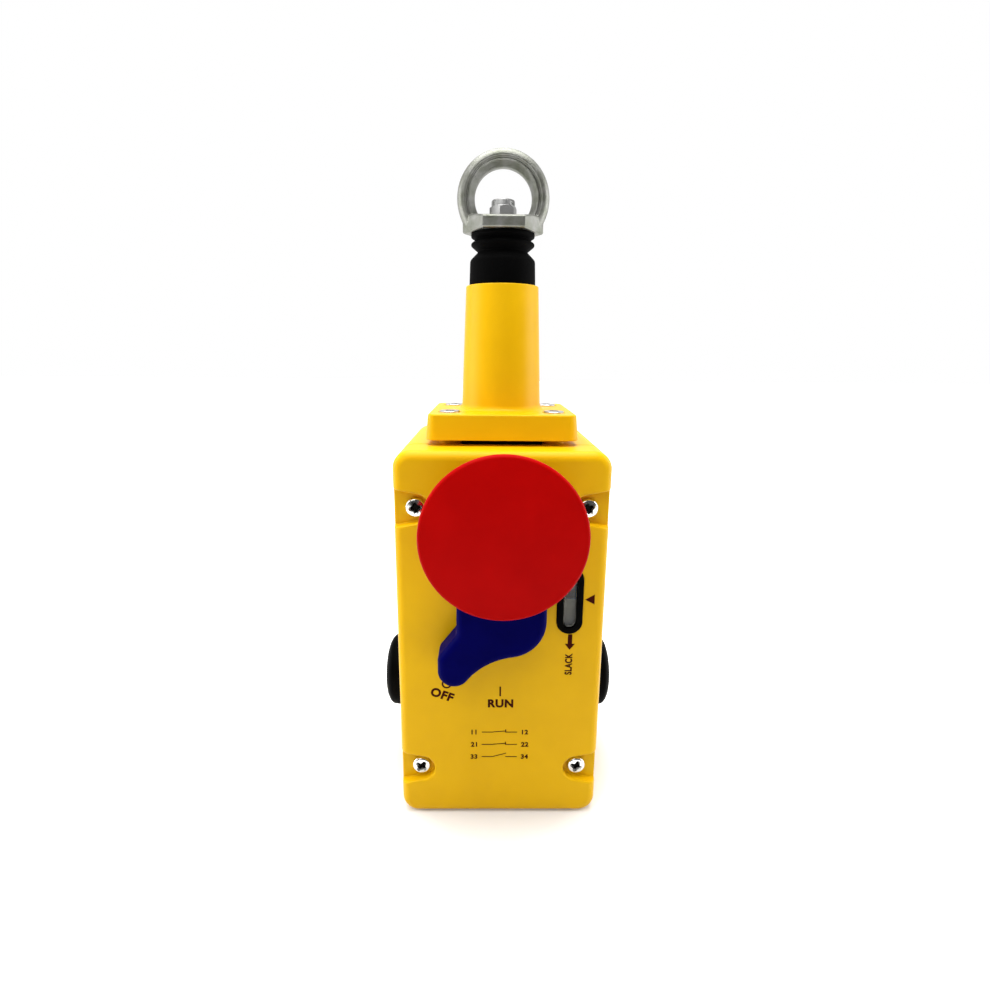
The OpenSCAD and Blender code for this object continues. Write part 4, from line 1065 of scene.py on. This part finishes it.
button_low, button_high = span("estop_button")
button_r, rim_round, face, wide = button_high[0], 1.4, button_low[1] - face_y, -25.0
face_r = button_r - rim_round
face_line = [(r, face + (wide - rim_round - face) * (r / face_r) ** 2) for r in np.linspace(0, face_r, 14)]
rim_line = [(face_r + rim_round * math.sin(a), wide - rim_round * math.cos(a))
            for a in np.radians(np.linspace(10, 90, 9))]
under = softened([(button_r, wide), (button_r, wide + 0.9), (button_r - 1, wide + 1.6), (13, -19.5), (5.4, -19.5)], 2)
plunger_socket = [(4.93, -19.9), (4.93, -23.5), (0, -23.5)]
skin = Skin()
skin.net(turned_rings([*face_line, *rim_line, *under[1:], *plunger_socket], "y", (0, 0, hub[1]), 144))
piece("mushroom_button", skin.mesh("mushroom_button", at_cover), "estop_button", sharp=40)

# %% [markdown]
# ## Tension window
#
# A black bezel with a clear lens, both with the outline of a pill. A bevelled box would flatten the round ends,
# so one helper carries two profiles round the same kind of outline. Behind the lens hangs the end of the
# indicator, which rises with the pull shaft.

# %% Window
bezel_low, bezel_high = span("window_bezel")
lens_low, lens_high = span("window_lens")


def pill(low, high, profile, steps=24):
    """Rings of a (inset, depth) profile carried round the pill that fits between two corners: a half circle's
    points, moved up or down by the length of the straight side."""
    centre, r = (low + high) / 2, (high[0] - low[0]) / 2
    straight = (high[2] - low[2]) / 2 - r
    a = np.concatenate([np.linspace(0, np.pi, steps), np.linspace(np.pi, TURN, steps)])
    way = np.stack([np.cos(a), np.sin(a)], 1)
    lift = np.where(np.arange(2 * steps) < steps, straight, -straight)
    return lofted(np.stack([0 * a, lift], 1) + centre[[0, 2]] - (0, mid_z) + r * way, way, profile)


slot = bezel_high[0] - lens_high[0] - 0.03
bezel_top, bezel_end = bezel_low[1] - face_y, bezel_high[1] - face_y
quarter = np.radians(np.linspace(0, 90, 5))
step_in, outer_r, inner_r = 1.03, 0.45, 0.35
outer_round = [(outer_r * (1 - math.cos(a)), bezel_top + outer_r - outer_r * math.sin(a)) for a in quarter]
inner_round = [(slot - inner_r + inner_r * math.sin(a), bezel_top + inner_r - inner_r * math.cos(a)) for a in quarter]
skin = Skin()
skin.net(pill(bezel_low, bezel_high, [(0, 0), *outer_round, *inner_round, (slot, bezel_end), (step_in, bezel_end),
                                      (step_in, 0), (0, 0)]))
piece("bezel", skin.mesh("bezel", at_cover), "window_bezel", sharp=40)
lens_front, lens_back = lens_low[1] - face_y, lens_high[1] - face_y
skin = Skin()
skin.tube(pill(lens_low, lens_high, [(0.3, lens_front), (0, lens_front + 0.3), (0, lens_back)]))
piece("lens", skin.mesh("lens", at_cover), "window_lens", sharp=40)

# %% [markdown]
# ## Blanking plugs
#
# Two plugs close the side entries. Each is turned, with a stepped dome whose edges are a little soft, a seal
# behind it, and its thread in the wall. A true thread is a screw line, but nobody sees this one, so rings of
# crest and valley at its pitch are enough.

# %% Plugs
plug_r = (plug_high[2] - plug_low[2]) / 2
start, stop = half_w + 0.8, plug_high[0]
dome_h = stop - start
plug_dome = softened([(plug_r, start), (plug_r, start + dome_h * 0.62), (plug_r - 1, start + dome_h * 0.78),
                      (plug_r - 4.5, start + dome_h * 0.94), (plug_r - 10, stop), (0, stop)], 1)
crest, valley_depth, half_pitch = 11.62, 0.55, 0.75
thread = [(crest - valley_depth * (k % 2), x) for k, x in enumerate(np.arange(start - 7, start - 0.9, half_pitch))]
plug_line = [(0, start - 7.6), (10.8, start - 7.6), *thread, (11.0, start - 0.7), (11.0, start), (plug_r, start),
             *plug_dome[1:]]
skin = Skin()
for way in (1, -1):
    skin.net(turned_rings(plug_line, "x", (0, entry_y, entry_z - mid_z), 96) * (way, 1, 1))
piece("blanking_plugs", skin.mesh("blanking_plugs", at_cover), "conduit_plugs", sharp=30)

# %% [markdown]
# ## Springs
#
# A spring is a round wire on a screw line. Its centre runs round at radius R while its height grows: slowly in
# the first and last turn, which lie closed, and evenly in between. Each spring has one end on the housing and
# the other on the piece it pushes; here the coils are attached to neither body.

# %% Springs
def coil(radius, wire, start, stop, turns, axis, centre):
    """A compression spring between two planes, as one closed net. A point of it stands at radius R + w cos s from
    the axis, turned by the angle a, and at the wire's height + w sin s, with w the wire's radius."""
    k = np.linspace(0, turns, int(turns * 28))
    height = np.interp(k, [0, 0.9, turns - 0.9, turns],
                       [start + wire, start + 2.8 * wire, stop - 2.8 * wire, stop - wire])
    a, s = k[:, None] * TURN, np.arange(10) / 10 * TURN
    out = radius + wire * np.cos(s)[None]
    parts = out * np.cos(a), out * np.sin(a), height[:, None] + wire * np.sin(s)[None]
    skin = Skin()
    skin.tube(np.stack([parts[n] for n in AXES[axis]], -1) + np.array(centre))
    return skin


def spring(name, node, turns, axis, wire):
    """Draws the coils in the room of an engineering spring, attached to no body."""
    low, high = span(node)
    index = "xyz".index(axis)
    centre = (low + high) / 2
    radius = (high - low)[(index + 1) % 3] / 2 - wire
    ends = low[index], high[index]
    centre[index] = 0
    obj = piece(name, coil(radius, wire, *ends, turns, axis, centre).mesh(name), node, sharp=60, rides=False)
    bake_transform(obj)


spring("main_spring_coils", "main_spring", 7.5, "z", 1.1)
spring("estop_spring_coils", "estop_spring", 5.5, "y", 0.7)
spring("right_contact_spring", "contact_spring_right", 7, "x", 0.3)
spring("left_contact_spring", "contact_spring_left", 7, "x", 0.3)

# %% [markdown]
# ## Printing
#
# The cover carries a few plain marks: O and OFF where the handle points at rest, I and RUN where it points
# after a reset, and a pointer, an arrow and SLACK at the window. Below them stands a small contact diagram with
# plain numbers. A texture would do from afar, but it blurs close up. Ink has a thickness, so here every mark is
# a thin solid that lies on the face. Flat marks are outlines in (x, z), and a stroke is a rectangle about the
# line between two points.

# %% Flat marks
INK = 0.03
marks = Skin()


def mark(*loops):
    """Adds a flat mark as high as the ink: the first loop is its outline, the others its holes, in (x, z)."""
    flat = [np.insert(np.array(loop, float), 1, 0, axis=1) for loop in loops]
    for depth in (0.0, -INK):
        marks.fill(*[loop + (0, depth, 0) for loop in flat])
    for loop in flat:
        marks.net(np.stack([loop, loop - (0, INK, 0)]))


def stroke(a, b, width):
    """A straight stroke between two points."""
    a, b = np.array(a, float), np.array(b, float)
    side = np.array([a[1] - b[1], b[0] - a[0]]) / math.dist(a, b) * width / 2
    mark([a + side, a - side, b - side, b + side])


def circle(centre, radius, width):
    """A round stroke: two loops of 48 points, half its width outside and inside the radius."""
    mark(*(arc(centre, radius + way * width / 2, 0, 352.5, 47) for way in (1, -1)))


circle((-22.1, 63.3), 1.75, 0.7)
stroke((0.1, 57.6), (0.1, 62.1), 0.7)
mark([(33.6, 101.1), (37.4, 99.0), (37.4, 103.3)])
mark([(28.2 + x, z) for x, z in ((-0.9, 85.9), (-0.9, 81.7), (-2.1, 81.7), (0, 78.95), (2.1, 81.7), (0.9, 81.7),
                                 (0.9, 85.9))])
print("marks so far:", marks.count, "points")

# %% [markdown]
# Letters come from the built-in font. Each word is scaled to the height of its capitals, pressed flat to the
# ink's height and turned. In words: x' = x cos - y sin and z' = x sin + y cos, with the turn's cosine and sine.
# The offset thickens the strokes to those of a printed label.

# %% Letters and the contact diagram
def letters(text, x, z, height, turn=0.0, spread=1.0):
    """A word centred at (x, z) with capitals of the given height, turned by an angle in degrees. spread makes
    the letters wider."""
    curve = bpy.data.curves.new(text, "FONT")
    curve.body, curve.extrude, curve.resolution_u, curve.offset = text, 0.5, 6, 0.045
    curve.space_character = 1.1
    obj = bpy.data.objects.new(text, curve)
    bpy.context.scene.collection.objects.link(obj)
    mesh = bpy.data.meshes.new_from_object(obj.evaluated_get(bpy.context.evaluated_depsgraph_get()))
    bpy.data.objects.remove(obj)
    points = np.array([v.co for v in mesh.vertices])
    low, high = points.min(0), points.max(0)
    points = (points - (low + high) / 2) * (np.array([spread, 1, 1]) * height / (high[1] - low[1]))
    across, up, depth = points[:, 0], points[:, 1], (np.sign(points[:, 2]) - 1) * INK / 2
    c, s = math.cos(math.radians(turn)), math.sin(math.radians(turn))
    for polygon in mesh.polygons:
        marks.faces.append([i + marks.count for i in polygon.vertices])
    marks.points.append(np.stack([x + c * across - s * up, depth, z + s * across + c * up], 1))
    marks.count += len(points)


letters("OFF", -24.0, 58.3, 4.2, turn=-20, spread=0.98)
letters("RUN", 0.3, 54.2, 3.9)
letters("SLACK", 28.0, 72.5, 3.05, turn=90, spread=0.77)
contacts = [(40.5, "11", "12", True), (34.5, "21", "22", True), (28.5, "33", "34", False)]
for z, left_number, right_number, closed in contacts:
    stroke((-7.5, z), (-2.6, z), 0.4)
    stroke((2.6, z), (7.5, z), 0.4)
    stroke((-2.6, z + 0.1), (2.9, z + (0.55 if closed else 1.7)), 0.4)
    if closed:
        stroke((2.6, z - 0.2), (2.6, z + 1.3), 0.4)
    letters(left_number, -10.8, z, 2.3)
    letters(right_number, 10.8, z, 2.3)
piece("printing", marks.mesh("printing", (0, face_y, 0)), "front_cover", sharp=30, stands_in=False, finish=ink)

# %% [markdown]
# ## Floor, light and camera
#
# The switch stands on a plain pale floor. The floor is an ordinary matt surface with a little light of its own
# that only the camera, mirrors and glass see: it lifts the open floor to white, and the shadow under the switch
# stays. It fades in from 4 to 12 cm from the middle, where the shadow ends.

# %% Floor
floor_mesh = bpy.data.meshes.new("floor")
floor_mesh.from_pydata([(x, y, 0) for x, y in ((-4, -4), (4, -4), (4, 4), (-4, 4))], [], [(0, 1, 2, 3)])
floor = bpy.data.objects.new("floor", floor_mesh)
bpy.context.scene.collection.objects.link(floor)
pale = Finish("pale floor", Base_Color=(0.76, 0.76, 0.76, 1), Roughness=0.6, Specular_IOR_Level=0.1,
              Emission_Strength=1.0)
rays = [pale.node("ShaderNodeLightPath", {}, out=f"Is {kind} Ray") for kind in ("Camera", "Glossy", "Transmission")]
distance = pale.node("ShaderNodeVectorMath", {"operation": "LENGTH"}, pale.place, out=1)
pale.feed("Emission Color", pale.mix(sum(rays) * pale.ramp(distance, 0.04, 0.12, 0.1, 1.0), (0, 0, 0), (1, 1, 1)))
floor_mesh.materials.append(pale.material)
print("floor:", floor_mesh.vertices[2].co[0] * 2, "m wide")

# %% [markdown]
# The room is white for the camera, and through glass. What the pieces mirror is a soft gradient instead, dark
# in front where somebody would stand and bright at the sides, because that draws the edges of a casting. Matt
# surfaces get an even, weaker light from it. Each mix is written out: first + factor * (second - first).

# %% Room
world = bpy.data.worlds.new("white room")
world.use_nodes = True
bpy.context.scene.world = world
room = Nodes(world.node_tree)
depth = room.node("ShaderNodeSeparateXYZ", {}, room.node("ShaderNodeTexCoord", {}, out="Generated"), out="Y")
mirrored = room.node("ShaderNodeMapRange", {"interpolation_type": "SMOOTHSTEP"}, depth, -0.75, 0.15, 0.07, 1.0)
camera_ray, matt_ray, glass_ray = (room.node("ShaderNodeLightPath", {}, out=f"Is {kind} Ray")
                                   for kind in ("Camera", "Diffuse", "Transmission"))
lit = mirrored + matt_ray * (0.2 - mirrored)
straight = room.node("ShaderNodeMath", {"operation": "ADD", "use_clamp": True}, camera_ray, glass_ray)
background = world.node_tree.nodes["Background"].inputs
room.set(background["Strength"], lit + straight * (1 - lit))
room.set(background["Color"], (1, 1, 1, 1))
print("room:", len(world.node_tree.nodes), "nodes")

# %% [markdown]
# A large soft light hangs above, so the tops of all edges shine. Two tall ones stand at the sides and draw the
# bright lines along the left and right edges, and a weaker one high in front fills the face.

# %% Lights
def softbox(name, place, aim, width, height, power):
    """A rectangular light at place that points at aim, both in metres, with its power in watts."""
    light = bpy.data.lights.new(name, "AREA")
    light.shape, light.size, light.size_y, light.energy = "RECTANGLE", width, height, power
    obj = bpy.data.objects.new(name, light)
    bpy.context.scene.collection.objects.link(obj)
    obj.location = place
    obj.rotation_euler = (Vector(aim) - Vector(place)).to_track_quat("-Z", "Y").to_euler()
    print(f"{name}: {power} W")


softbox("top light", (-0.05, 0.0, 0.9), (0, 0, 0.15), 0.9, 0.7, 12.5)
softbox("left light", (-0.8, 0.05, 0.3), (0, 0, 0.13), 0.5, 0.8, 4.7)
softbox("right light", (0.8, 0.1, 0.3), (0, 0, 0.13), 0.5, 0.8, 4.8)
softbox("front light", (-0.4, -0.7, 0.8), (0, 0, 0.1), 0.5, 0.4, 1.95)

# %% [markdown]
# The camera stands 24 cm in front of the switch and looks slightly down, so that the top of the housing shows.
# Its three axes are worked out from pitch, yaw and roll, and form the columns of its matrix.

# %% Camera
view = bpy.data.cameras.new("camera")
view.sensor_width, view.sensor_height, view.sensor_fit, view.lens, view.clip_start = 36, 36, "AUTO", 21.1, 0.01
camera = bpy.data.objects.new("camera", view)
bpy.context.scene.collection.objects.link(camera)
bpy.context.scene.camera = camera
pitch, yaw, roll = (math.radians(a) for a in (13.79, 0.743, 0.516))
ahead = Vector((math.sin(yaw) * math.cos(pitch), math.cos(yaw) * math.cos(pitch), -math.sin(pitch)))
right = Vector((math.cos(yaw), -math.sin(yaw), 0))
up = right.cross(ahead)
axes = right * math.cos(roll) + up * math.sin(roll), up * math.cos(roll) - right * math.sin(roll), -ahead
camera.matrix_world = Matrix.Translation((-0.0056, -0.24164, 0.1966)) @ Matrix(axes).transposed().to_4x4()
bpy.context.scene.view_settings.view_transform = "Standard"
print(f"camera: lens {view.lens:.1f} mm, looking down by {math.degrees(pitch):.1f} degrees")

# %% [markdown]


print("scene built")
